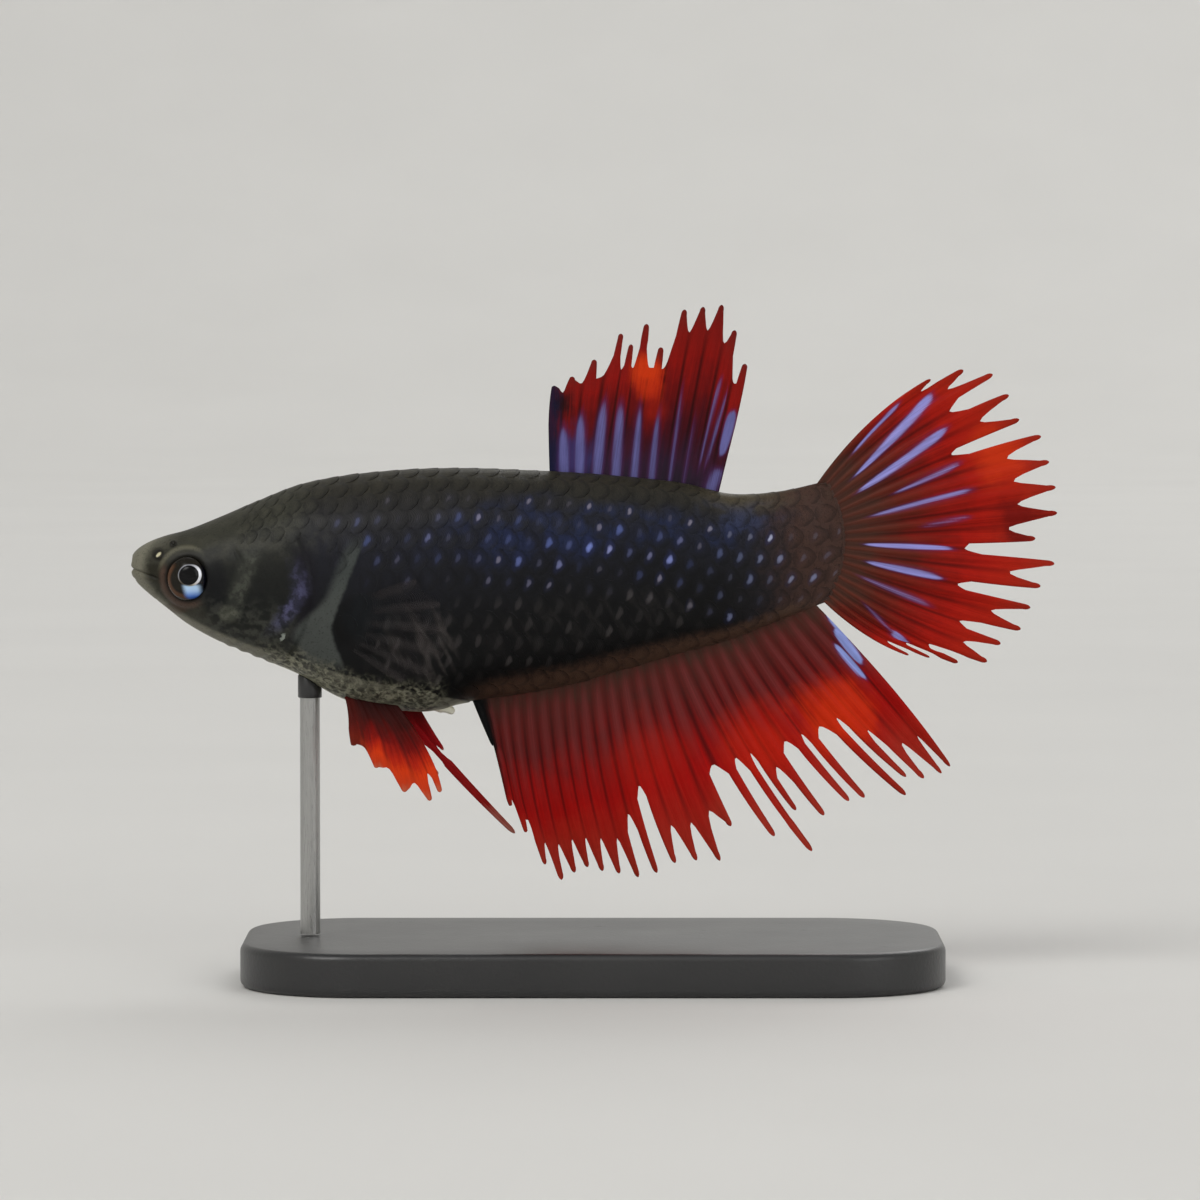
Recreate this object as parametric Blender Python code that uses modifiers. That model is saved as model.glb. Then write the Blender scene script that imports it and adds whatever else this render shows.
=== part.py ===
"""A female crowntail betta, life size, held level over a flat base by one rod.

The fish swims toward -X with its left side toward -Y, and +Z is up. The origin lies on
the underside of the base, below the middle of the fish's length. Sizes are in
millimetres and become metres where a mesh is made.
"""

import math

import bmesh
import bpy
import numpy as np

MM = 0.001
CUT = 0.12  # width of the thin cuts between neighbouring pieces
FAR = 20.0  # reach of a cutter past everything that it cuts

# Stand
BASE_LENGTH = 42.0
BASE_WIDTH = 22.0
BASE_HEIGHT = 2.6
BASE_CORNER = 7.0
BASE_EDGE = 0.45
ROD_X = -17.0
ROD_RADIUS = 0.6

# Body stations, snout to tail: x, back, belly, half width, level of the widest point as a
# share of the depth, and how sharply the section draws in below that level.
STATIONS = np.array([
    (-27.72, 25.25, 24.55, 0.40, 0.50, 1.00),
    (-27.35, 25.95, 23.75, 1.05, 0.50, 1.00),
    (-26.55, 26.45, 23.00, 1.60, 0.50, 1.00),
    (-25.60, 26.80, 22.25, 2.08, 0.50, 1.00),
    (-24.30, 27.15, 21.25, 2.55, 0.50, 1.00),
    (-22.40, 27.90, 20.20, 3.05, 0.50, 1.00),
    (-20.00, 28.92, 19.20, 3.50, 0.50, 1.00),
    (-17.60, 29.85, 18.20, 3.88, 0.50, 1.00),
    (-15.00, 30.38, 16.75, 4.15, 0.49, 0.95),
    (-12.50, 30.66, 16.20, 4.28, 0.48, 0.92),
    (-9.80, 30.82, 16.00, 4.25, 0.48, 0.95),
    (-7.30, 30.84, 16.60, 4.05, 0.52, 1.15),
    (-4.60, 30.74, 17.00, 3.75, 0.56, 1.40),
    (-1.50, 30.60, 17.55, 3.42, 0.58, 1.50),
    (2.00, 30.33, 18.55, 3.00, 0.58, 1.50),
    (5.50, 29.92, 19.55, 2.50, 0.57, 1.45),
    (8.30, 29.30, 20.35, 2.00, 0.55, 1.35),
    (11.20, 29.45, 21.50, 1.40, 0.52, 1.20),
    (13.95, 30.05, 22.55, 0.50, 0.50, 1.00),
])
BACK_SHARPNESS = 1.12
TAIL_END_BULGE = 1.35  # how far the middle of the tail stalk's end reaches past its corners
TAIL_END_START = 11.0
BODY_RINGS = 34
RING_POINTS = 32

# Cuts in the side view, as (x, z) points
GILL_EDGE = ((-19.6, 34.0), (-18.2, 29.0), (-17.2, 26.5), (-16.8, 23.8), (-17.3, 21.2), (-19.9, 13.0))
STALK_EDGE = ((8.0, 34.0), (8.0, 13.0))
MOUTH_FRONT = (-29.0, 25.12)
MOUTH_CORNER = (-25.95, 24.15)
CHIN_BACK = (-24.2, 18.0)
COVER_CENTRE = (-19.35, 23.75)
COVER_RADII = (2.05, 3.6)
COVER_DEPTH_Y = 2.45  # the gill cover's flat inner face stands this far from the midplane

# Eyes
EYE = (-24.20, 2.29, 24.2)
EYE_RADIUS = 1.26
EYE_THICKNESS_RADIUS = 0.80
EYE_TURN = math.radians(12.0)  # each eye looks a little forward

# Fins. Each ray has WEB_STEPS steps up to the membrane's margin and FREE_STEPS past it.
# Lengths run from the first ray to the last, and webs are how many steps the membrane
# fills between one ray and the next.
FIN_THICKNESS = 0.5
WEB_STEPS = 4
FREE_STEPS = 3
WHOLE = WEB_STEPS + FREE_STEPS
ROOT_DEPTH = 0.7  # each ray starts this far inside the body
RAY_HALF_WIDTH = 0.3
RAY_SHARES = (0.2, 0.36)  # most that half a ray takes of the way to its neighbour, root and tip

DORSAL_FROM, DORSAL_TO = -2.40, 7.40
DORSAL_LEAN = (math.radians(1.0), math.radians(13.0))
DORSAL_LENGTHS = (5.0, 5.6, 6.7, 8.4, 7.8, 9.1, 7.8, 10.2, 10.5, 10.8, 9.5, 7.7)
DORSAL_WEBS = (WHOLE, 6, 5, 5, 5, 5, 5, 6, 6, 6, 5)
DORSAL_TILTS = {2: 2.0, 3: 4.5, 4: 2.0}  # degrees that single rays lean back past their place
DORSAL_MARGIN = 0.7  # share of a ray's length at which WEB_STEPS end

CAUDAL_CENTRE = (15.12, 26.4)
CAUDAL_FROM, CAUDAL_TO = math.radians(62.0), math.radians(-61.0)
CAUDAL_LENGTHS = (
    10.9, 12.4, 13.3, 13.1, 12.7, 13.3, 13.1, 13.0, 12.8, 11.4,
    12.6, 12.0, 11.8, 11.8, 11.2, 11.2, 10.0, 8.7, 7.9,
)
CAUDAL_WEBS = (6, 6, 5, 6, 4, 6, 6, 6, 6, 4, 6, 4, 6, 5, 6, 5, 5, 5)
CAUDAL_MARGIN = 0.62
CAUDAL_ROOT_X = 13.2
CAUDAL_ROOT_SPAN = 2.95

ANAL_FROM, ANAL_TO = -7.0, 13.3
ANAL_LEAN = (math.radians(9.5), math.radians(41.5))
ANAL_LENGTHS = (
    2.8, 6.5, 8.2, 10.3, 11.4, 11.1, 10.9, 11.3, 11.7, 12.2, 12.2, 11.9, 12.1,
    12.5, 10.7, 12.2, 13.9, 11.1, 12.0, 11.9, 12.1, 13.3, 12.2, 12.7, 12.9, 12.6,
)
ANAL_WEBS = (5, 5, 5, 6, 6, 6, 6, 6, 6, 5, 4, 6, 6, 6, 4, 4, 4, 5, 4, 4, 4, 4, 5, 6, 6)
ANAL_TILTS = {0: 11.5, 1: 1.5, 15: 4.0, 16: 4.5, 19: 2.0, 21: 3.5, 22: 1.5, 25: -1.0}
ANAL_BOW = (-0.035, 0.014)  # of most rays, and of the last; the first are straight
ANAL_MARGIN = 7.4  # millimetres, or less on the short first rays

PELVIC_LEFT_ROOTS = ((-14.75, -1.3, 17.1), (-12.1, -1.3, 16.9))
PELVIC_LEFT_TIPS = ((-14.3, 14.2), (-12.9, 12.9), (-11.2, 11.5), (-9.7, 11.0), (-9.1, 11.5))
PELVIC_LEFT_WEBS = (6, WHOLE, WHOLE, 5)
PELVIC_MARGIN = 0.7
PELVIC_RIGHT_ROOTS = ((-13.4, 1.3, 17.1), (-10.9, 1.3, 16.7))
PELVIC_RIGHT_TIPS = ((-9.4, 12.0), (-4.75, 8.35), (-9.05, 13.6))
PELVIC_RIGHT_WEBS = (WEB_STEPS, WEB_STEPS)
FILAMENT_MARGIN = 3.8  # millimetres
PELVIC_SPLAY = 0.3  # how far out a fin goes for each millimetre of its length

PECTORAL_ROOTS = ((-14.9, 3.1, 22.5), (-15.1, 3.1, 20.5))
PECTORAL_TIPS = ((-10.4, 24.2), (-9.0, 22.9), (-8.6, 21.4), (-8.8, 19.9), (-9.7, 18.8), (-11.2, 18.3))
PECTORAL_WEBS = (WHOLE,) * 5
PECTORAL_SPLAY = 0.55


def clear_scene():
    for thing in list(bpy.data.objects):
        bpy.data.objects.remove(thing, do_unlink=True)


def new_collection(name):
    made = bpy.data.collections.new(name)
    bpy.context.scene.collection.children.link(made)
    return made


def material(name, colour, roughness, metallic=0.0):
    made = bpy.data.materials.new(name)
    made.use_nodes = True
    shader = made.node_tree.nodes["Principled BSDF"]
    shader.inputs["Base Color"].default_value = (*colour, 1.0)
    shader.inputs["Roughness"].default_value = roughness
    shader.inputs["Metallic"].default_value = metallic
    return made


def mesh_object(name, points, faces, collection, finish=None):
    """An object from points in millimetres, with its faces turned outward and shaded smooth."""
    mesh = bpy.data.meshes.new(name)
    mesh.from_pydata((np.asarray(points) * MM).tolist(), [], [list(map(int, face)) for face in faces])
    work = bmesh.new()
    work.from_mesh(mesh)
    bmesh.ops.recalc_face_normals(work, faces=work.faces)
    work.to_mesh(mesh)
    work.free()
    mesh.shade_smooth()
    mesh.set_sharp_from_angle(angle=math.radians(50.0))
    made = bpy.data.objects.new(name, mesh)
    collection.objects.link(made)
    if finish:
        mesh.materials.append(finish)
    return made


def as_cutter(thing):
    thing.hide_render = True
    thing.display_type = "WIRE"
    return thing


def boolean(target, other, operation="DIFFERENCE"):
    step = target.modifiers.new(f"{operation.lower()} {other.name}", "BOOLEAN")
    step.operation = operation
    step.object = other


def smooth_curve(knots, values, at):
    """A cubic through the values at the knots, one row for each place asked for."""
    slopes = np.gradient(values, knots, axis=0)
    first = np.clip(np.searchsorted(knots, at, side="right") - 1, 0, len(knots) - 2)
    step = (knots[first + 1] - knots[first])[:, None]
    t = (at - knots[first])[:, None] / step
    start = (1 + 2 * t) * (1 - t) ** 2 * values[first] + t * (1 - t) ** 2 * step * slopes[first]
    end = t * t * (3 - 2 * t) * values[first + 1] + t * t * (t - 1) * step * slopes[first + 1]
    return start + end


def body_at(x):
    """Back, belly, half width, widest level and keel at each x, round at the snout."""
    snout = STATIONS[0, 0]
    knots = np.sqrt(STATIONS[:, 0] - snout)
    return smooth_curve(knots, STATIONS[:, 1:], np.sqrt(np.maximum(np.asarray(x, float) - snout, 0.0)))


def body_rings(grow=0.0):
    """Rings of points round the body, snout to tail, all moved out by grow."""
    share = np.linspace(0.0, 1.0, BODY_RINGS)
    snout, tail = STATIONS[0, 0], STATIONS[-1, 0]
    x = snout + (tail - snout) * share ** 1.5
    back, belly, half, level, keel = body_at(x).T
    angle = np.linspace(0.0, 2 * math.pi, RING_POINTS, endpoint=False)
    side, rise = np.cos(angle), np.sin(angle)
    middle = belly + (back - belly) * level
    power = np.where(rise > 0, BACK_SHARPNESS, keel[:, None])
    y = (half[:, None] + grow) * np.sign(side) * np.abs(side) ** power
    depth = np.where(rise > 0, (back - middle)[:, None], (middle - belly)[:, None]) + grow
    z = middle[:, None] + depth * rise
    ends = np.where(share == 1.0, grow, 0.0) - np.where(share == 0.0, grow, 0.0)
    fade = np.clip((x - TAIL_END_START) / (tail - TAIL_END_START), 0.0, 1.0) ** 2
    bulge = TAIL_END_BULGE * fade[:, None] * (1 - rise**2)
    return np.stack([(x + ends)[:, None] + bulge, y, z], axis=2)


def ladder(first, around):
    """Faces that close a ring side to side, so that an end may curve from top to bottom."""
    rungs = []
    for j in range(-around // 4, around // 4):
        corners = (j, j + 1, around // 2 - j - 1, around // 2 - j)
        rungs.append(list(dict.fromkeys(first + corner % around for corner in corners)))
    return rungs


def loft(name, rings, collection, finish=None, curved_ends=False):
    """A closed body through rings of equally many points."""
    count, around = rings.shape[:2]
    last = (count - 1) * around
    if curved_ends:
        faces = ladder(0, around) + ladder(last, around)
    else:
        faces = [list(range(around)), list(range(last, last + around))]
    for i in range(count - 1):
        for j in range(around):
            k = (j + 1) % around
            faces.append((i * around + j, i * around + k, (i + 1) * around + k, (i + 1) * around + j))
    return mesh_object(name, rings.reshape(-1, 3), faces, collection, finish)


def prism(name, outline, y_from, y_to, collection):
    """A solid with this outline in the side view, between two y values."""
    rings = np.array([[(x, y, z) for x, z in outline] for y in (y_from, y_to)])
    return as_cutter(loft(name, rings, collection))


def side_strip(edge, reach, shift):
    """The outline of all that lies on one side of an edge, moved along x by shift."""
    moved = [(x + shift, z) for x, z in edge]
    return moved + [(reach, moved[-1][1]), (reach, moved[0][1])]


def ellipse(centre, radii, grow=0.0, count=28):
    angles = [2 * math.pi * i / count for i in range(count)]
    return [
        (centre[0] + (radii[0] + grow) * math.cos(a), centre[1] + (radii[1] + grow) * math.sin(a))
        for a in angles
    ]


def eyeball(name, side, grow, collection, finish=None):
    """A flattened ball in the head's side, turned a little forward; side is -1 on the left."""
    work = bmesh.new()
    bmesh.ops.create_uvsphere(work, u_segments=16, v_segments=10, radius=1.0)
    ball = np.array([v.co for v in work.verts])[:, [0, 2, 1]]
    faces = [[v.index for v in face.verts] for face in work.faces]
    work.free()
    radius, thin = EYE_RADIUS + grow, EYE_THICKNESS_RADIUS + grow
    ball = ball * (radius, thin, radius)
    turn = -side * EYE_TURN
    x = ball[:, 0] * math.cos(turn) - ball[:, 1] * math.sin(turn)
    y = ball[:, 0] * math.sin(turn) + ball[:, 1] * math.cos(turn)
    centre = (EYE[0], side * EYE[1], EYE[2])
    return mesh_object(name, np.stack([x, y, ball[:, 2]], axis=1) + centre, faces, collection, finish)


def mouth_outline(grow):
    """The side view of the lower jaw, its upper and rear edges moved by grow."""
    front, corner, chin = MOUTH_FRONT, MOUTH_CORNER, CHIN_BACK
    return [
        (front[0], front[1] + grow),
        (corner[0] + grow, corner[1] + grow),
        (chin[0] + grow, chin[1]),
        (front[0], chin[1]),
    ]


def make_body(parts, cutters, skins):
    """Head, lower jaw, gill covers, trunk and tail stalk, parted by thin cuts."""
    rings = body_rings()
    half = CUT / 2
    in_front = prism("before gills", side_strip(GILL_EDGE, -32.0, -half), -FAR, FAR, cutters)
    behind = prism("behind gills", side_strip(GILL_EDGE, 32.0, half), -FAR, FAR, cutters)
    forward = prism("before stalk", side_strip(STALK_EDGE, -32.0, -half), -FAR, FAR, cutters)
    rear = prism("behind stalk", side_strip(STALK_EDGE, 32.0, half), -FAR, FAR, cutters)
    jaw_room = prism("jaw room", mouth_outline(half), -FAR, FAR, cutters)
    jaw_shape = prism("jaw shape", mouth_outline(-half), -FAR, FAR, cutters)

    head = loft("head", rings, parts, skins["head"], True)
    boolean(head, in_front, "INTERSECT")
    boolean(head, jaw_room)
    jaw = loft("lower_jaw", rings, parts, skins["head"], True)
    boolean(jaw, jaw_shape, "INTERSECT")
    for name, side in (("left", -1), ("right", 1)):
        inner, outer = side * COVER_DEPTH_Y, side * FAR
        room = prism(
            f"cover room {name}",
            ellipse(COVER_CENTRE, COVER_RADII, half), inner - side * CUT, outer, cutters,
        )
        shape = prism(f"cover shape {name}", ellipse(COVER_CENTRE, COVER_RADII, -half), inner, outer, cutters)
        boolean(head, room)
        cover = loft(f"gill_cover_{name}", rings, parts, skins["head"], True)
        boolean(cover, shape, "INTERSECT")
        boolean(head, as_cutter(eyeball(f"socket {name}", side, CUT, cutters)))
        eyeball(f"eye_{name}", side, 0.0, parts, skins["eye"])
    trunk = loft("trunk", rings, parts, skins["body"], True)
    boolean(trunk, behind, "INTERSECT")
    boolean(trunk, forward, "INTERSECT")
    stalk = loft("tail_stalk", rings, parts, skins["body"], True)
    boolean(stalk, rear, "INTERSECT")
    return as_cutter(loft("body room", body_rings(CUT), cutters, None, True))


def ray_curve(root, tip, bow, margin):
    """Points from root to tip in the side view, swung out sideways by bow of the length.

    margin is the share of the length, up to 1, or the length in millimetres, from 1, at
    which the membrane ends.
    """
    root, tip = np.array(root, float), np.array(tip, float)
    if margin > 1:
        margin = min(margin / np.linalg.norm(tip - root), 0.9)
    webbed = np.linspace(0.0, margin, WEB_STEPS + 1)
    free = np.linspace(margin, 1.0, FREE_STEPS + 1)[1:]
    t = np.concatenate([webbed, free])[:, None]
    along = tip - root
    across = np.array([-along[1], along[0]])
    return root + along * t + across * bow * 4 * t * (1 - t)


def ray_edges(points, half_width, onward):
    """The edges of a ray, half_width from it and closer near the tip, the onward edge last."""
    t = np.linspace(0.0, 1.0, len(points))
    tangent = np.gradient(points, axis=0)
    tangent /= np.linalg.norm(tangent, axis=1)[:, None]
    across = np.stack([-tangent[:, 1], tangent[:, 0]], axis=1)
    across *= np.sign((across * onward).sum())
    width = (half_width * (1 - 0.35 * t**4))[:, None]
    return points - across * width, points + across * width


def room_between(curves):
    """How far each point of each ray lies from the nearer of its neighbours."""
    steps = np.arange(curves.shape[1])
    finer = np.linspace(0, steps[-1], 80)
    room = np.full(curves.shape[:2], np.inf)
    for i, curve in enumerate(curves):
        for other in curves[max(i - 1, 0):i + 2:2] if i else curves[1:2]:
            line = np.stack([np.interp(finer, steps, other[:, k]) for k in (0, 1)], axis=1)
            away = np.linalg.norm(curve[:, None] - line[None], axis=2).min(axis=1)
            room[i] = np.minimum(room[i], away)
    return room


def rayed_fin(name, curves, webs, sway, collection, finish, body_room):
    """Rays joined by webs, one sheet given thickness, less the room that the body takes.

    curves holds the rays in the side view, and sway(u, out) is the sheet's y at share u of
    the way from the first ray to the last, at the distance out from the root.
    """
    steps = WHOLE + 1
    curves = np.array(curves)
    shares = np.interp(np.arange(steps), (0, WEB_STEPS + 1), RAY_SHARES)
    widths = np.minimum(RAY_HALF_WIDTH, shares * room_between(curves))
    onward = curves[-1] - curves[0]
    points = []
    for i, curve in enumerate(curves):
        out = np.linalg.norm(curve - curve[0], axis=1)
        y = sway(i / (len(curves) - 1), out)
        for edge in ray_edges(curve, widths[i], onward):
            points.append(np.stack([edge[:, 0], y, edge[:, 1]], axis=1))
    faces = []
    for strip in range(len(points) - 1):
        reach = webs[strip // 2] if strip % 2 else WHOLE
        for j in range(reach):
            a, b = strip * steps + j, (strip + 1) * steps + j
            faces.append((a, b, b + 1, a + 1))
    made = mesh_object(name, np.concatenate(points), faces, collection, finish)
    thick = made.modifiers.new("thickness", "SOLIDIFY")
    thick.thickness = FIN_THICKNESS * MM
    thick.offset = 0.0
    boolean(made, body_room)
    return made


def leaning_rays(roots, leans, tilts, lengths, upward, bows, margin):
    """Rays from roots on the body's edge, each leaning back from the vertical and bowed."""
    curves = []
    for i, ((x, z), lean, length, bow) in enumerate(zip(roots, leans, lengths, bows)):
        lean += math.radians(tilts.get(i, 0.0))
        tip = (x + length * math.sin(lean), z + upward * length * math.cos(lean))
        start = (x - ROOT_DEPTH * math.sin(lean), z - upward * ROOT_DEPTH * math.cos(lean))
        curves.append(ray_curve(start, tip, bow, margin))
    return curves


def ease(share, start, end):
    t = min(max((share - start) / (end - start), 0.0), 1.0)
    return t * t * (3 - 2 * t)


def make_dorsal(parts, finish, body_room):
    count = len(DORSAL_LENGTHS)
    x = np.linspace(DORSAL_FROM, DORSAL_TO, count)
    roots = list(zip(x, body_at(x)[:, 0]))
    low, high = DORSAL_LEAN
    leans = [low + (high - low) * (i / (count - 1)) ** 0.8 for i in range(count)]
    curves = leaning_rays(roots, leans, DORSAL_TILTS, DORSAL_LENGTHS, 1, [0.005] * count, DORSAL_MARGIN)

    def sway(u, out):
        return 0.02 * out**1.5 * math.sin(2.2 * math.pi * u + 0.4)

    rayed_fin("dorsal_fin", curves, DORSAL_WEBS, sway, parts, finish, body_room)


def make_anal(parts, finish, body_room):
    count = len(ANAL_LENGTHS)
    x = np.linspace(ANAL_FROM, ANAL_TO, count)
    roots = list(zip(x, body_at(x)[:, 1]))
    low, high = ANAL_LEAN
    leans = [low + (high - low) * ease(i / (count - 1), 0.25, 1.0) for i in range(count)]
    most, last = ANAL_BOW
    shares = [i / (count - 1) for i in range(count)]
    bows = [most * ease(u, 0.0, 0.12) + (last - most) * ease(u, 0.86, 1.02) for u in shares]
    curves = leaning_rays(roots, leans, ANAL_TILTS, ANAL_LENGTHS, -1, bows, ANAL_MARGIN)

    def sway(u, out):
        return 0.018 * out**1.5 * math.sin(2.6 * math.pi * u) + 0.012 * out * math.sin(13 * math.pi * u)

    rayed_fin("anal_fin", curves, ANAL_WEBS, sway, parts, finish, body_room)


def make_caudal(parts, finish, body_room):
    count = len(CAUDAL_LENGTHS)
    curves = []
    for i, length in enumerate(CAUDAL_LENGTHS):
        share = i / (count - 1)
        angle = CAUDAL_FROM + (CAUDAL_TO - CAUDAL_FROM) * share
        height = 1 - 2 * share
        tip = (CAUDAL_CENTRE[0] + length * math.cos(angle), CAUDAL_CENTRE[1] + length * math.sin(angle))
        root = (CAUDAL_ROOT_X + 0.8 * (1 - height**2), CAUDAL_CENTRE[1] + CAUDAL_ROOT_SPAN * height)
        curves.append(ray_curve(root, tip, 0.05 * height, CAUDAL_MARGIN))

    def sway(u, out):
        return 0.011 * out**1.5 * math.sin(2 * math.pi * u + 0.6) + 0.012 * out * math.sin(9 * math.pi * u)

    rayed_fin("caudal_fin", curves, CAUDAL_WEBS, sway, parts, finish, body_room)


def spread_rays(roots, tips, bow, margin):
    """Rays from roots spaced along a short line to tips placed one by one."""
    first, last = np.array(roots[0])[[0, 2]], np.array(roots[1])[[0, 2]]
    shares = [i / (len(tips) - 1) for i in range(len(tips))]
    starts = [first + (last - first) * share for share in shares]
    return [ray_curve(start, tip, bow, margin) for start, tip in zip(starts, tips)]


def paired_fin(name, roots, tips, webs, rise, bow, margin, parts, finish, body_room):
    """A fin on one flank; rise is how far it stands out, to +Y, for each millimetre out."""
    start = roots[0][1]

    def sway(u, out):
        return start + rise * out

    curves = spread_rays(roots, tips, bow, margin)
    rayed_fin(name, curves, webs, sway, parts, finish, body_room)


def make_paired_fins(parts, skins, body_room):
    paired_fin(
        "pelvic_fin_left", PELVIC_LEFT_ROOTS, PELVIC_LEFT_TIPS, PELVIC_LEFT_WEBS,
        -PELVIC_SPLAY, 0.05, PELVIC_MARGIN, parts, skins["fin"], body_room,
    )
    paired_fin(
        "pelvic_fin_right", PELVIC_RIGHT_ROOTS, PELVIC_RIGHT_TIPS, PELVIC_RIGHT_WEBS,
        PELVIC_SPLAY, -0.015, FILAMENT_MARGIN, parts, skins["fin"], body_room,
    )
    for name, side in (("left", -1), ("right", 1)):
        roots = [(x, side * y, z) for x, y, z in PECTORAL_ROOTS]
        paired_fin(
            f"pectoral_fin_{name}", roots, PECTORAL_TIPS, PECTORAL_WEBS,
            side * PECTORAL_SPLAY, 0.0, PELVIC_MARGIN, parts, skins["clear fin"], body_room,
        )


def rounded_rectangle(length, width, corner, steps=6):
    points = []
    for quarter in range(4):
        centre_x = (length / 2 - corner) * (1 if quarter in (0, 3) else -1)
        centre_y = (width / 2 - corner) * (1 if quarter in (0, 1) else -1)
        for i in range(steps + 1):
            angle = math.pi / 2 * (quarter + i / steps)
            points.append((centre_x + corner * math.cos(angle), centre_y + corner * math.sin(angle)))
    return points


def make_stand(parts, skins, body_room):
    """A flat slab with rounded corners and one rod up to the breast."""
    outline = rounded_rectangle(BASE_LENGTH, BASE_WIDTH, BASE_CORNER)
    rings = np.array([[(x, y, z) for x, y in outline] for z in (0.0, BASE_HEIGHT)])
    base = loft("stand_base", rings, parts, skins["base"])
    edge = base.modifiers.new("edge", "BEVEL")
    edge.width = BASE_EDGE * MM
    edge.segments = 2
    edge.limit_method = "ANGLE"
    belly = float(body_at([ROD_X])[0, 1])
    angles = np.linspace(0.0, 2 * math.pi, 20, endpoint=False)
    circle = np.stack([ROD_X + ROD_RADIUS * np.cos(angles), ROD_RADIUS * np.sin(angles)], axis=1)
    rings = np.array([[(x, y, z) for x, y in circle] for z in (BASE_HEIGHT + CUT, belly + 1.0)])
    rod = loft("stand_rod", rings, parts, skins["rod"])
    boolean(rod, body_room)


def main():
    clear_scene()
    parts = new_collection("betta on a stand")
    cutters = new_collection("cutters")
    skins = {
        "head": material("dark olive skin", (0.035, 0.035, 0.028), 0.45),
        "body": material("dark scaled skin", (0.015, 0.016, 0.022), 0.45),
        "eye": material("eye", (0.02, 0.03, 0.05), 0.1),
        "fin": material("red fin", (0.35, 0.02, 0.012), 0.45),
        "clear fin": material("clear fin", (0.35, 0.33, 0.28), 0.35),
        "base": material("black base", (0.02, 0.02, 0.02), 0.35),
        "rod": material("steel rod", (0.55, 0.55, 0.55), 0.3, 1.0),
    }
    body_room = make_body(parts, cutters, skins)
    make_dorsal(parts, skins["fin"], body_room)
    make_anal(parts, skins["fin"], body_room)
    make_caudal(parts, skins["fin"], body_room)
    make_paired_fins(parts, skins, body_room)
    make_stand(parts, skins, body_room)


main()
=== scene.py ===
# %% [markdown]
# # A crowntail betta on a museum stand
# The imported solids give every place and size. This lesson dresses them: one skin from
# lips to tail, a coat of overlapping scales, wet eyes and rayed fins. Lengths are in
# millimetres and become metres where a mesh is made.

# %% Load the frame
import math

import bmesh
import bpy
import numpy as np
from mathutils.bvhtree import BVHTree
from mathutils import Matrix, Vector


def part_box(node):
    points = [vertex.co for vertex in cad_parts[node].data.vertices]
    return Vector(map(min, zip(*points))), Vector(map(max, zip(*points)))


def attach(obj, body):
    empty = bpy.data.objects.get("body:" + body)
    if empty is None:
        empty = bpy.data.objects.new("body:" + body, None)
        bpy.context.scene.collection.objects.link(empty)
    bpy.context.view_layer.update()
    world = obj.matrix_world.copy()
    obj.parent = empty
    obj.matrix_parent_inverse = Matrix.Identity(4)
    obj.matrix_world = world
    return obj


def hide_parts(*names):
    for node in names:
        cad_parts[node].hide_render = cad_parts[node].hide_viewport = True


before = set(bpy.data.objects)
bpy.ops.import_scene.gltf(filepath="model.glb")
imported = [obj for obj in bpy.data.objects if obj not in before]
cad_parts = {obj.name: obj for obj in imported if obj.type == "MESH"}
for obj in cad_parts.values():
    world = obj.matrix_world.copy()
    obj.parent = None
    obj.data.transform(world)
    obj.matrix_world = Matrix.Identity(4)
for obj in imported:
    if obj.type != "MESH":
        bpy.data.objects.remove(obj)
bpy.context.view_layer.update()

MM = 0.001
snout_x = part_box("head")[0].x / MM
floor_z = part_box("stand_base")[0].z / MM
print("snout at x", round(snout_x, 3), "mm, floor at z", round(floor_z, 3), "mm")

# %% [markdown]
# ## Small tools
# Every new piece is a surface worked out as whole numpy arrays. One function writes such
# arrays into a mesh, and one class lets shader maths be written as ordinary sums.

# %% Curves and steps
def ease(value, start, end):
    """0 before start, 1 after end, and 3t^2 - 2t^3 between them."""
    t = np.clip((value - start) / (end - start), 0.0, 1.0)
    return t * t * (3 - 2 * t)


def bump(distance, width):
    """A rounded hill: e to the power of minus (distance / width) squared."""
    return np.exp(-((distance / width) ** 2))


# %% From arrays to a piece
def grid_quads(rows, columns):
    """Corners of every cell of a grid of points, row by row."""
    index = np.arange(rows * columns).reshape(rows, columns)
    cells = (index[:-1, :-1], index[:-1, 1:], index[1:, 1:], index[1:, :-1])
    return np.stack([cell.ravel() for cell in cells], axis=1)


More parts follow.
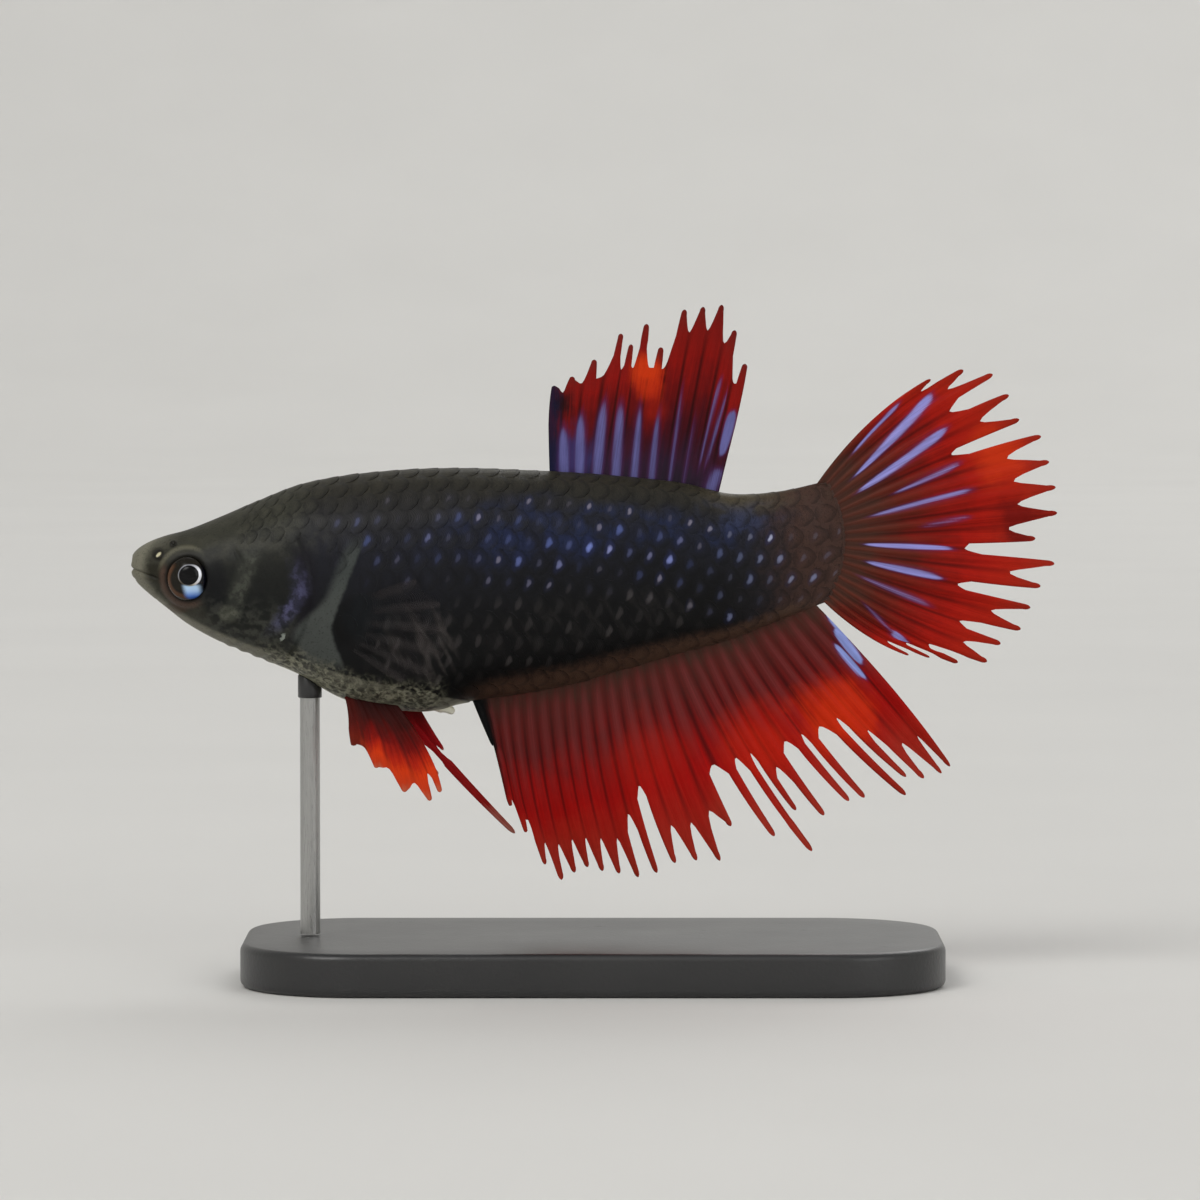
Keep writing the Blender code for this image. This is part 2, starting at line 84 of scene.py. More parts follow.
def piece_from(name, points, faces, finish, maps=None, values=None, turn_out=True, sharp=60.0):
    """A piece from points in millimetres and a list of face arrays, each n by corners.

    maps holds (u, v) for each point under a map's name, and values one number a point.
    Points that coincide are made one, so seams and poles close. turn_out faces the piece
    outward, and an edge sharper than sharp degrees stays hard.
    """
    mesh = bpy.data.meshes.new(name)
    corners = np.concatenate([f.ravel() for f in faces]).astype(np.int32)
    sizes = np.concatenate([np.full(len(f), f.shape[1]) for f in faces])
    starts = np.concatenate([[0], np.cumsum(sizes)[:-1]]).astype(np.int32)
    mesh.vertices.add(len(points))
    mesh.vertices.foreach_set("co", (np.asarray(points) * MM).astype(np.float32).ravel())
    mesh.loops.add(len(corners))
    mesh.loops.foreach_set("vertex_index", corners)
    mesh.polygons.add(len(sizes))
    mesh.polygons.foreach_set("loop_start", starts)
    mesh.update(calc_edges=True)
    for title, uv in (maps or {}).items():
        layer = mesh.uv_layers.new(name=title)
        layer.uv.foreach_set("vector", np.asarray(uv)[corners].astype(np.float32).ravel())
    for title, numbers in (values or {}).items():
        made = mesh.attributes.new(title, "FLOAT", "POINT")
        made.data.foreach_set("value", np.asarray(numbers).astype(np.float32))
    work = bmesh.new()
    work.from_mesh(mesh)
    bmesh.ops.remove_doubles(work, verts=work.verts, dist=1e-4 * MM)
    bmesh.ops.dissolve_degenerate(work, edges=work.edges, dist=1e-5 * MM)
    if turn_out:
        bmesh.ops.recalc_face_normals(work, faces=work.faces)
    work.to_mesh(mesh)
    work.free()
    mesh.validate()
    mesh.shade_smooth()
    mesh.set_sharp_from_angle(angle=math.radians(sharp))
    mesh.materials.append(finish)
    made = bpy.data.objects.new(name, mesh)
    bpy.context.scene.collection.objects.link(made)
    print(name, len(mesh.vertices), "points,", len(mesh.polygons), "faces")
    return made


def dress(piece, slot, *nodes):
    """The piece rides on the one body and stands for nodes, whose solids it hides. slot is not used."""
    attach(piece, "root")
    if nodes:
        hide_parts(*nodes)
    return piece


# %% [markdown]
# A shader's sums are easier to read as sums. A Wire wraps one socket: writing a + b or
# 1 - a adds the Math node that does it, and node() adds any other node.

# %% Shader sums
class Wire:
    """One socket of a material, on which the usual operators work."""

    def __init__(self, tree, socket):
        self.tree, self.socket = tree, socket

    def node(self, kind, settings=None, inputs=None, output=0):
        """Adds a node of this kind: its settings first, then its sockets' values or wires."""
        made = self.tree.nodes.new(kind)
        for name, value in (settings or {}).items():
            if name == "stops":
                ramp = made.color_ramp
                for place, colour in value[1:-1]:
                    ramp.elements.new(place).color = colour
                ends = ((ramp.elements[0], value[0]), (ramp.elements[-1], value[-1]))
                for element, (place, colour) in ends:
                    element.position, element.color = place, colour
            else:
                setattr(made, name, value)
        for name, value in (inputs or {}).items():
            if isinstance(value, Wire):
                self.tree.links.new(value.socket, made.inputs[name])
            else:
                made.inputs[name].default_value = value
        return Wire(self.tree, made.outputs[output])

    def sum(self, operation, *others):
        """A Math node of this operation, with this wire as its first number."""
        return self.node("ShaderNodeMath", {"operation": operation}, dict(enumerate((self, *others))))

    def __add__(self, other):
        return self.sum("ADD", other)

    def __mul__(self, other):
        return self.sum("MULTIPLY", other)

    __radd__, __rmul__ = __add__, __mul__

    def __sub__(self, other):
        return self.sum("SUBTRACT", other)

    def __rsub__(self, other):
        return self.node("ShaderNodeMath", {"operation": "SUBTRACT"}, {0: other, 1: self})

    def __truediv__(self, other):
        return self.sum("DIVIDE", other)

    def __pow__(self, other):
        return self.sum("POWER", other)

    def size(self):
        """The same number without its sign."""
        return self.sum("ABSOLUTE")

    def least(self, other):
        """The smaller of the two."""
        return self.sum("MINIMUM", other)

    def most(self, other):
        """The larger of the two."""
        return self.sum("MAXIMUM", other)

    def step(self, start, end):
        """0 before start and 1 after end, eased; start may be the larger."""
        if start > end:
            return 1 - self.step(end, start)
        inputs = {"Value": self, "From Min": start, "From Max": end}
        return self.node("ShaderNodeMapRange", {"interpolation_type": "SMOOTHSTEP"}, inputs)

    def band(self, low, high, soft):
        """1 between low and high, falling to 0 within soft on either side."""
        return self.step(low - soft, low + soft) * self.step(high + soft, high - soft)

    def ramp(self, *stops):
        """A colour that goes straight from one (place, colour) stop to the next."""
        return self.node("ShaderNodeValToRGB", {"stops": stops}, {"Fac": self})


def rgb(red, green, blue):
    """A colour from 0-255 screen values, as linear light by the usual screen curve."""
    screen = np.array([red, green, blue]) / 255.0
    linear = np.where(screen <= 0.04045, screen / 12.92, ((screen + 0.055) / 1.055) ** 2.4)
    return (*(float(v) for v in linear), 1.0)


# %% Patterns shared by the finishes
class Finish:
    """A new material with its shader, the wires that its patterns start from, and mixing."""

    def __init__(self, name):
        self.material = bpy.data.materials.new(name)
        self.material.use_nodes = True
        self.tree = self.material.node_tree
        self.shader = self.tree.nodes["Principled BSDF"]
        root = Wire(self.tree, None)
        self.node = root.node
        place = self.node("ShaderNodeTexCoord", output=3)
        self.place = self.node("ShaderNodeMapping", None, {"Vector": place, "Scale": (1 / MM,) * 3})
        self.x, self.y, self.z = self.numbers_of(self.place, 3)

    def numbers_of(self, vector, count):
        """The first count numbers of a vector."""
        return [self.node("ShaderNodeSeparateXYZ", None, {0: vector}, i) for i in range(count)]

    def value(self, name):
        """A number stored on the piece's points."""
        return self.node("ShaderNodeAttribute", {"attribute_name": name}, output=2)

    def chart(self, name):
        """The two coordinates of one of the piece's own maps."""
        return self.numbers_of(self.node("ShaderNodeUVMap", {"uv_map": name}), 2)

    def noise(self, size, detail=2.0, vector=None, rough=0.5):
        """Cloudy noise whose lumps are about size across, from 0 to 1."""
        inputs = {"Vector": vector or self.place, "Scale": 1.0 / size, "Detail": detail, "Roughness": rough}
        return self.node("ShaderNodeTexNoise", None, inputs)

    def cells(self, size, feature="F1", vector=None, output=0):
        """Distance to the nearest of scattered points, or to the edge between them."""
        inputs = {"Vector": vector or self.place, "Scale": 1.0 / size}
        return self.node("ShaderNodeTexVoronoi", {"feature": feature}, inputs, output)

    def joined(self, x, y, z=0.0):
        """A vector from three wires or numbers."""
        return self.node("ShaderNodeCombineXYZ", None, {0: x, 1: y, 2: z})

    def mix(self, share, under, over):
        """under where share is 0 and over where it is 1."""
        return self.node("ShaderNodeMix", {"data_type": "RGBA"}, {0: share, 6: under, 7: over}, 2)

    def scaled(self, colour, by):
        """A colour made lighter or darker by a number."""
        first = colour if isinstance(colour, Wire) else colour[:3]
        return self.node("ShaderNodeVectorMath", {"operation": "SCALE"}, {0: first, "Scale": by})

    def raised(self, height, distance, strength=1.0):
        """A bumped normal from heights of 0 to 1, distance being what 1 stands for."""
        inputs = {"Height": height, "Distance": distance * MM, "Strength": strength}
        return self.node("ShaderNodeBump", None, inputs)

    def finish(self, **sockets):
        """Sets or links the shader's sockets, with underscores for the spaces in a name."""
        for name, value in sockets.items():
            socket = self.shader.inputs[name.replace("_", " ")]
            if isinstance(value, Wire):
                self.tree.links.new(value.socket, socket)
            else:
                socket.default_value = value
        return self.material


# %% [markdown]
# ## The body's form
# The trunk's form is a row of stations from snout to tail, each with a back, a belly, a
# half width and how sharply its sides draw in. A smooth curve through the stations gives
# the section anywhere, so the skin and the scales share one formula with the solids.

# %% Stations of the body
# x, back, belly, half width, share of the height at which it is widest, and the keel: the
# power by which the sides draw in below that height
STATIONS = np.array([
    (-27.72, 25.25, 24.55, 0.40, 0.50, 1.00),
    (-27.35, 25.95, 23.75, 1.05, 0.50, 1.00),
    (-26.55, 26.45, 23.00, 1.60, 0.50, 1.00),
    (-25.60, 26.80, 22.25, 2.08, 0.50, 1.00),
    (-24.30, 27.15, 21.25, 2.55, 0.50, 1.00),
    (-22.40, 27.90, 20.20, 3.05, 0.50, 1.00),
    (-20.00, 28.92, 19.20, 3.50, 0.50, 1.00),
    (-17.60, 29.85, 18.20, 3.88, 0.50, 1.00),
    (-15.00, 30.38, 16.75, 4.15, 0.49, 0.95),
    (-12.50, 30.66, 16.20, 4.28, 0.48, 0.92),
    (-9.80, 30.82, 16.00, 4.25, 0.48, 0.95),
    (-7.30, 30.84, 16.60, 4.05, 0.52, 1.15),
    (-4.60, 30.74, 17.00, 3.75, 0.56, 1.40),
    (-1.50, 30.60, 17.55, 3.42, 0.58, 1.50),
    (2.00, 30.33, 18.55, 3.00, 0.58, 1.50),
    (5.50, 29.92, 19.55, 2.50, 0.57, 1.45),
    (8.30, 29.30, 20.35, 2.00, 0.55, 1.35),
    (11.20, 29.45, 21.50, 1.40, 0.52, 1.20),
    (13.95, 30.05, 22.55, 0.50, 0.50, 1.00),
])
SHIFT = snout_x - STATIONS[0, 0]
STATIONS[:, 0] += SHIFT
STATIONS[:, 1:3] += floor_z
SNOUT, TAIL = STATIONS[0, 0], STATIONS[-1, 0]
BACK_SHARPNESS = 1.12
TAIL_END_BULGE = 1.35
TAIL_END_START = 11.0
TAIL_TAPER = (12.3, 13.95)  # the stalk thins here to the fin's own thickness
TAIL_THINNING = 0.72
COAT_DEPTH = 0.12  # the skin lies this far inside the solids, before its relief is added


def smooth_curve(knots, values, at):
    """Cubic Hermite curve: (1+2t)(1-t)^2 a + t^2(3-2t) b and the slopes' two terms."""
    slopes = np.gradient(values, knots, axis=0)
    first = np.clip(np.searchsorted(knots, at, side="right") - 1, 0, len(knots) - 2)
    step = (knots[first + 1] - knots[first])[:, None]
    t = (at - knots[first])[:, None] / step
    start = (1 + 2 * t) * (1 - t) ** 2 * values[first] + t * (1 - t) ** 2 * step * slopes[first]
    end = t * t * (3 - 2 * t) * values[first + 1] + t * t * (t - 1) * step * slopes[first + 1]
    return start + end


def body_at(x):
    """Back, belly, half width, widest level and keel at each x, round at the snout."""
    knots = np.sqrt(STATIONS[:, 0] - SNOUT)
    return smooth_curve(knots, STATIONS[:, 1:], np.sqrt(np.maximum(np.asarray(x, float) - SNOUT, 0.0)))


# %% [markdown]
# ## The skin's surface
# One grid wraps the whole body. Rings run from the snout to the tail, closer together on
# the head, and each ring starts on the back, goes down the left flank, under the belly
# and up the right. The ends are closed by rings that shrink away.

# %% Rings of the skin
RINGS = 340
HALF_ROUND = 96  # points from the back's ridge to the belly's, on each side
ROUND = 2 * HALF_ROUND + 1
CROWDING = 1.5  # over 1, this draws the rings toward the snout
NOSE_RINGS, NOSE_ROUND = 7, 0.06
TAIL_RINGS, TAIL_ROUND = 5, 0.15
TAIL_INSET = 0.3  # the skin's end stays this far inside the solid's bulge


def skin_points():
    """Ring point: y = half |sin a|^power to the side, z = middle + depth cos a."""
    share = np.linspace(0.0, 1.0, RINGS)
    x = SNOUT + COAT_DEPTH + (TAIL - SNOUT - COAT_DEPTH) * share**CROWDING
    back, belly, half, level, keel = (column[:, None] for column in body_at(x).T)
    angle = np.linspace(0.0, 2 * math.pi, ROUND)[None, :]
    side, rise = -np.sin(angle), np.cos(angle)
    middle = belly + (back - belly) * level
    power = np.where(rise > 0, BACK_SHARPNESS, keel)
    taper = 1 - TAIL_THINNING * ease(x, *TAIL_TAPER)[:, None]
    y = (half - COAT_DEPTH) * taper * np.sign(side) * np.abs(side) ** power
    z = middle + (np.where(rise > 0, back - middle, middle - belly) - COAT_DEPTH) * rise
    fade = np.clip((x - TAIL_END_START) / (TAIL - TAIL_END_START), 0.0, 1.0)[:, None] ** 2
    body = np.stack([x[:, None] + (TAIL_END_BULGE - TAIL_INSET) * fade * (1 - rise**2), y, z], axis=2)
    centre = body[0].mean(axis=0)
    shrink = np.linspace(0.0, 1.0, NOSE_RINGS + 1)[:-1, None, None]
    nose = centre + (body[0] - centre) * shrink
    nose[:, :, 0] = body[0, :, 0] - NOSE_ROUND * (1 - shrink[:, :, 0] ** 2)
    thin = np.linspace(1.0, 0.0, TAIL_RINGS + 1)[1:, None]
    end = np.repeat(body[-1:], TAIL_RINGS, axis=0)
    end[:, :, 1] *= thin
    end[:, :, 0] += TAIL_ROUND * np.sqrt(1 - thin**2)
    return np.concatenate([nose, body, end])


def outward(points):
    """Unit normals: the cross product of the grid's two directions."""
    along = np.gradient(points, axis=0)
    wrapped = np.concatenate([points[:, -2:-1], points, points[:, 1:2]], axis=1)
    about = np.gradient(wrapped, axis=1)[:, 1:-1]
    normal = np.cross(about, along)
    length = np.linalg.norm(normal, axis=2, keepdims=True)
    normal = normal / np.maximum(length, 1e-9)  # a ring shrunk to a point has no direction
    normal[0] = (-1.0, 0.0, 0.0)
    return normal


# %% [markdown]
# ## Lips, nostrils, sockets and gill covers
# On a real betta the upturned mouth is a slit with thick lips, the eye sits in a ring of
# soft skin, and the gill cover ends in a free edge. Carving by hand would do, but each of
# these is also a small hill or hollow across a line, so all of them are added up as one
# height that moves the skin along its normals.

# %% Heights on the head
MOUTH_FRONT = (-29.0, 25.12)
MOUTH_CORNER = (-25.95, 24.15)
EYE = (-24.20, 2.29, 24.2)
EYE_RADIUS = 1.22
EYE_TALL = 1.07  # the opening is this much taller than it is long
# x, z, radius and depth of each opening
NOSTRILS = ((-25.92, 25.62, 0.13, 0.15), (-25.08, 26.22, 0.10, 0.08))


def gape(x, z):
    """Height above the line of the mouth."""
    slope = (MOUTH_CORNER[1] - MOUTH_FRONT[1]) / (MOUTH_CORNER[0] - MOUTH_FRONT[0])
    return z - MOUTH_FRONT[1] - slope * (x - MOUTH_FRONT[0])


# Both edges stand this far ahead of x = 0, at this height, and leave that line at this rate
GILL_AHEAD, GILL_HEIGHT, GILL_RATE = 16.85, 23.6, 0.085
SHOULDER_AHEAD, SHOULDER_HEIGHT, SHOULDER_RATE = 15.5, 21.2, 0.40
SHOULDER_ROUND, SHOULDER_START = 0.3, 0.55  # the hyperbola's turn, and about its square root


def gill_edge(z):
    """x of the gill cover's free edge: furthest back at GILL_HEIGHT, forward above and below."""
    return -GILL_AHEAD - GILL_RATE * (z - GILL_HEIGHT) ** 2


def shoulder_edge(z):
    """x of the front of the dark flank: a hyperbola, furthest forward at SHOULDER_HEIGHT."""
    away = np.sqrt((z - SHOULDER_HEIGHT) ** 2 + SHOULDER_ROUND)
    return -SHOULDER_AHEAD + SHOULDER_RATE * (away - SHOULDER_START)


def relief(points):
    """Hills and hollows in millimetres, from each point's place in the side view."""
    x, y, z = points[..., 0], np.abs(points[..., 1]), points[..., 2]
    # The mouth's slit, the lips on both sides of it, a fold under the chin and one at the corner
    above = gape(x, z)
    lips = 1 - ease(x, MOUTH_CORNER[0] - 0.25, MOUTH_CORNER[0] + 0.15)
    height = -0.12 * bump(above, 0.085) * lips
    height += 0.035 * bump(np.abs(above) - 0.24, 0.14) * lips
    height -= 0.035 * bump(above + 0.58, 0.09) * (1 - ease(x, -26.6, -26.0))
    corner = 0.05 * bump(x + 25.75 - 0.35 * (z - 24.0), 0.10)
    height -= corner * ease(z, 22.6, 23.2) * (1 - ease(z, 24.1, 24.6))
    for nx, nz, radius, depth in NOSTRILS:
        away = np.hypot(x - nx, z - nz)
        rim = 0.06 * bump(away - radius * 1.6, radius * 0.6)
        height += np.where(y > 0.5, rim - depth * bump(away, radius), 0)
    # The eye's socket, its raised rim, a brow above and a little ahead, and a crease below
    away = np.hypot(x - EYE[0], (z - EYE[2]) / EYE_TALL)
    toward = np.arctan2(z - EYE[2], x - EYE[0])
    height -= 0.80 * (1 - ease(away, 0.90, 1.24))
    height += 0.05 * bump(away - 1.42, 0.20)
    height += 0.09 * bump(away - 1.80, 0.18) * bump(toward - 1.85, 0.80)
    height -= 0.05 * bump(away - 1.75, 0.12) * bump(toward + 1.4, 1.1)
    # A groove down the cheek, then the gill cover's raised edge and the gap behind it
    cheek = x + 20.55 + 0.12 * (z - 23.4) ** 2
    height -= 0.06 * bump(cheek, 0.13) * ease(z, 20.6, 21.6) * (1 - ease(z, 25.6, 26.4))
    cover = x - gill_edge(z)
    open_gill = ease(z, 18.7, 19.6) * (1 - ease(z, 26.3, 27.3))
    height += np.where(cover < 0, 0.09 * bump(cover, 0.60), 0.09 * bump(cover, 0.12)) * open_gill
    gap = 0.15 * np.exp(-cover / 0.45) * ease(cover, 0.0, 0.22)
    height -= np.where(cover >= 0, gap, 0.0) * open_gill
    # The shoulder's step, the pocket behind it, the pectoral fin's base and the throat's folds
    behind = x - shoulder_edge(z)
    height += 0.05 * bump(behind + 0.1, 0.24) * ease(z, 18.6, 19.8) * (1 - ease(z, 25.2, 26.8))
    height -= 0.10 * bump(behind - 0.38, 0.22) * bump(z - 21.6, 1.1)
    height += 0.12 * bump(np.hypot((x + 14.75) / 0.4, (z - 21.5) / 1.1), 1.0)
    throat = ease(z, 18.6, 19.4) * (1 - ease(z, 20.9, 21.6))
    throat = throat * ease(x, -22.6, -21.8) * (1 - ease(x, -18.9, -18.3))
    height += 0.035 * np.sin((z - 0.42 * x) * 9.5) * throat
    return height


# %% The skin as a grid
skin_grid = skin_points()
skin_grid = skin_grid + outward(skin_grid) * relief(skin_grid)[..., None]
skin_normal = outward(skin_grid)
skin_ends = skin_grid[..., 0].min().round(2), skin_grid[..., 0].max().round(2)
print("skin grid", skin_grid.shape, "x", skin_ends[0], "to", skin_ends[1])


def lengths_round(points):
    """Millimetres from the back's ridge to each point, along each ring's left half."""
    half = points[:, :HALF_ROUND + 1]
    steps = np.linalg.norm(np.diff(half, axis=1), axis=2)
    return np.concatenate([np.zeros((len(half), 1)), np.cumsum(steps, axis=1)], axis=1)


skin_lengths = lengths_round(skin_grid)
skin_down = skin_lengths / np.maximum(skin_lengths[:, -1:], 1e-6)
skin_down = np.concatenate([skin_down, skin_down[:, -2::-1]], axis=1)

# %% [markdown]
# ## Markings and painted light
# The back is olive, the flank blue-black and the belly mottled with cream; the shoulder is
# bare and pale, and the gill cover shines lilac. Painting an image would be quick, but a
# formula of place follows the form at any size, and the skin and every scale can share it.

# %% Markings and painted light of skin and scales
def blob(made, across, up, width, height):
    """1 in the middle of an ellipse in the side view, falling to 0 at its edge."""
    right, high = (made.x - across) / width, (made.z - up) / height
    return (right * right + high * high).step(1.3, 0.25)


def markings_and_painted_light(made):
    """The fish's ground colour from its place: layers of colour, each laid over those before, some of them
    painted shade and a painted highlight.
    """
    x, z, down = made.x, made.z, made.value("down")
    fine, broad = made.noise(0.35, 3.0), made.noise(2.2, 3.0)
    level = down + (broad - 0.5) * 0.14
    colour = level.ramp(
        (0.00, rgb(54, 51, 41)), (0.12, rgb(45, 43, 37)), (0.21, rgb(33, 32, 32)),
        (0.33, rgb(24, 25, 33)), (0.46, rgb(20, 21, 27)), (0.62, rgb(11, 12, 14)), (0.86, rgb(13, 13, 13)),
        (1.00, rgb(34, 31, 28)),
    )
    haze = made.noise(1.5, 2.0).step(0.42, 0.60)
    blue = x.step(-12.0, -4.0) * x.step(13.0, 8.5) * level.band(0.22, 0.40, 0.07) * (0.2 + haze * 0.8)
    colour = made.mix(blue * 0.8, colour, rgb(28, 37, 68))
    colour = made.mix(x.step(7.0, 11.0) * 0.6, colour, rgb(36, 33, 38))
    saddle = x.step(5.0, 9.0) * (down + (fine - 0.5) * 0.05).step(0.22, 0.08)
    colour = made.mix(saddle * 0.85, colour, rgb(78, 71, 54))
    stalk = (x + (fine - 0.5) * 2.0).band(6.6, 11.2, 1.6) * level.band(0.13, 0.30, 0.07) * (0.1 + haze * 0.9)
    colour = made.mix(stalk * 0.45, colour, rgb(56, 64, 96))
    root = (x + (fine - 0.5) * 1.6 + (broad - 0.5) * 2.5).step(9.4, 13.2)
    colour = made.mix(root * (0.75 + fine * 0.4).least(1.0), colour, rgb(66, 45, 38))
    muscle = x.step(-8.5, -5.5) * x.step(14.0, 11.5) * (down + (fine - 0.5) * 0.06).step(0.84, 0.93)
    colour = made.mix(muscle * 0.9, colour, rgb(76, 56, 45))

    cheek = (down + (fine - 0.5) * 0.2).ramp(
        (0.00, rgb(60, 59, 50)), (0.22, rgb(50, 50, 42)), (0.36, rgb(30, 31, 28)),
        (0.60, rgb(20, 22, 21)), (0.80, rgb(32, 33, 29)), (1.00, rgb(46, 46, 39)),
    )
    colour = made.mix(x.step(-16.2, -18.6), colour, cheek)
    mottle = made.noise(0.7, 2.0).step(0.40, 0.66)
    colour = made.mix(x.step(-14.0, -19.0) * mottle * down.step(0.45, 0.30) * 0.4, colour, rgb(70, 69, 58))
    colour = made.mix((x + z * 0.25).step(-16.6, -18.4) * 0.85, colour, rgb(52, 51, 42))
    # Painted shade: a dark olive patch under the upper lip, along the mouth
    colour = made.mix(blob(made, -26.1, 24.5, 1.15, 0.6) * 0.75, colour, rgb(30, 28, 18))
    rim = (x + (z - 24.8) * (z - 24.8) * -0.30 + (fine - 0.5) * 0.3).step(-26.45, -27.2)
    crown = (down + (fine - 0.5) * 0.10).step(0.34, 0.10) * x.step(-24.5, -26.5)
    colour = made.mix(rim.most(crown * 0.6) * 0.9, colour, rgb(118, 116, 102))
    for across, up, wide in ((-25.95, 25.60, 0.42), (-25.08, 26.22, 0.26)):
        colour = made.mix(blob(made, across, up, wide, wide) * 0.85, colour, rgb(20, 18, 13))
    # Painted highlight: a small bright slanted fleck in the front nostril
    nostril_glint = blob(made, (z - 25.60) * 0.6 - 25.95, 25.60, 0.13, 0.16)
    colour = made.mix(nostril_glint, colour, rgb(222, 216, 184))
    socket = made.joined((x - EYE[0]) / EYE_RADIUS, 0.0, (z - EYE[2]) / (EYE_RADIUS * EYE_TALL))
    from_eye = made.node("ShaderNodeVectorMath", {"operation": "LENGTH"}, {0: socket}, 1)
    brow = from_eye.band(1.34, 1.52, 0.08) * (z - EYE[2]).step(0.2, 1.1) * x.step(-23.0, -24.0)
    colour = made.mix(brow * 0.55, colour, rgb(104, 101, 82))
    colour = made.mix(from_eye.step(1.30, 1.04) * 0.9, colour, rgb(17, 15, 12))
    low_left = from_eye.band(1.10, 1.38, 0.12) * (x - EYE[0] + z - EYE[2]).step(-0.2, -1.2)
    colour = made.mix(low_left * (0.3 + fine * 0.5), colour, rgb(92, 70, 60))
    colour = made.mix(blob(made, -25.0, 22.35, 0.9, 0.35) * 0.5, colour, rgb(64, 44, 32))
    behind_eye = blob(made, -22.6, 23.8, 0.9, 1.9)
    colour = made.mix(behind_eye * 0.75, colour, rgb(13, 14, 17))

    blotch = made.noise(0.55, 2.5).step(0.42, 0.64)
    low = x.band(-23.3, -17.5, 1.0) * down.band(0.62, 0.92, 0.10)
    colour = made.mix(low * blotch * 0.55, colour, rgb(72, 73, 66))
    bar = (x + 20.95 - (z - 23.8) * 0.34).size().step(0.85, 0.10) * z.band(21.8, 25.9, 0.5)
    colour = made.mix(bar * (0.30 + blotch * 0.5), colour, rgb(74, 76, 68))
    colour = made.mix(blob(made, -21.75, 22.1, 0.62, 0.60) * (0.4 + blotch * 0.5), colour, rgb(88, 89, 78))
    shade = (gill_line(made) + 0.05).size().step(0.85, 0.2) * z.band(20.6, 26.2, 0.8)
    colour = made.mix(shade * 0.75, colour, rgb(16, 14, 22))
    bend = z - 24.0
    lilac = (x + 17.5 + bend * bend * 0.17 + (broad - 0.5) * 0.9 + (fine - 0.5) * 0.5).size().step(0.80, 0.05)
    lilac = lilac * z.band(21.4, 25.1, 0.9) * (0.45 + z.step(24.9, 22.2) * 0.55) * (0.25 + blotch * 0.75)
    colour = made.mix(lilac * 0.85, colour, made.mix(fine, rgb(66, 66, 94), rgb(98, 97, 136)))

    edge = shoulder_line(made) + (fine - 0.5) * 0.16
    wide = 0.95 + z.step(23.4, 20.6) * 1.45
    bare = edge.step(0.14, -0.16) * (edge + wide).step(-0.3, 0.4) * z.band(18.9, 26.3, 0.7)
    pale = made.mix(fine * 0.6, rgb(76, 80, 77), rgb(58, 61, 59))
    pale = made.mix(z.step(22.5, 24.8) * 0.5, pale, rgb(48, 54, 53))
    colour = made.mix(bare * 0.92, colour, pale)
    # Painted shadow: near black in the hollow behind the bare shoulder, at the pectoral fin's base
    pocket_shadow = (edge - 0.55).size().step(0.75, 0.15) * z.band(20.4, 23.0, 0.6)
    colour = made.mix(pocket_shadow * 0.95, colour, rgb(3, 3, 4))
    teal = blob(made, -13.2, 22.0, 1.9, 1.6)
    colour = made.mix(teal * 0.5, colour, rgb(10, 17, 21))
    smudge = blob(made, (z - 20.72) * 0.35 - 18.45 + (fine - 0.5) * 0.5, 20.72, 0.15, 0.26)
    colour = made.mix(smudge * 0.85, colour, rgb(150, 156, 148))

    streak = made.noise(1.0, 1.5, made.joined(x * 1.5 + z * 0.75, 0.0, z * 0.42)).step(0.46, 0.66)
    patch = blob(made, -10.2, 20.1, 2.3, 3.0) * 0.9
    patch = patch + x.band(-6.0, 6.0, 2.0) * down.band(0.60, 0.78, 0.06) * 0.2
    colour = made.mix((patch * streak).least(1.0) * 0.55, colour, rgb(80, 75, 73))

    crackle = made.cells(0.52, "DISTANCE_TO_EDGE").step(0.22, 0.02) * 0.45
    crackle = crackle + made.noise(0.32, 2.0).step(0.46, 0.62) * 0.9
    reach = x.band(-19.6, -9.2, 0.8)
    belly = (down + (broad - 0.5) * 0.12).step(0.76, 0.87) * reach
    colour = made.mix(belly * 0.7, colour, rgb(22, 22, 20))
    colour = made.mix((belly * crackle).least(1.0) * 0.85, colour, rgb(140, 139, 120))
    ridge = down.step(0.935, 0.99) * x.band(-18.8, -7.6, 0.8) * (0.45 + made.noise(0.3, 2.0) * 0.8).least(1.0)
    colour = made.mix(ridge * 0.85, colour, rgb(182, 178, 150))
    pepper = made.noise(0.12, 1.0).step(0.56, 0.70)
    colour = made.mix(pepper * 0.3, colour, rgb(10, 10, 10))
    return colour


def gill_line(made):
    """How far back of the gill cover's edge a point is, as in gill_edge."""
    away = made.z - GILL_HEIGHT
    return made.x + GILL_AHEAD + away * away * GILL_RATE


def shoulder_line(made):
    """How far back of the bare shoulder's rear edge a point is, as in shoulder_edge."""
    away = made.z - SHOULDER_HEIGHT
    away = (away * away + SHOULDER_ROUND) ** 0.5
    return made.x + SHOULDER_AHEAD - (away - SHOULDER_START) * SHOULDER_RATE


# %% [markdown]
# The skin itself is a thin wet layer: dark, a little rough, and with a clear coat over it.
# Its fine wrinkles are bump only, as they are far smaller than a scale.

# %% Skin finish and piece
def skin_finish():
    """The markings with their painted shade and highlight, wrinkles as bump and a thin clear coat."""
    made = Finish("betta_skin")
    colour = markings_and_painted_light(made)
    wrinkles = made.noise(0.16, 3.0) * 0.6 + made.noise(0.5, 2.0) * 0.4
    rough = 0.38 + made.noise(0.8, 2.0) * 0.18
    return made.finish(
        Base_Color=colour, Roughness=rough, Normal=made.raised(wrinkles, 0.03), Coat_Weight=0.06,
        Coat_Roughness=0.25, Specular_IOR_Level=0.12,
    )


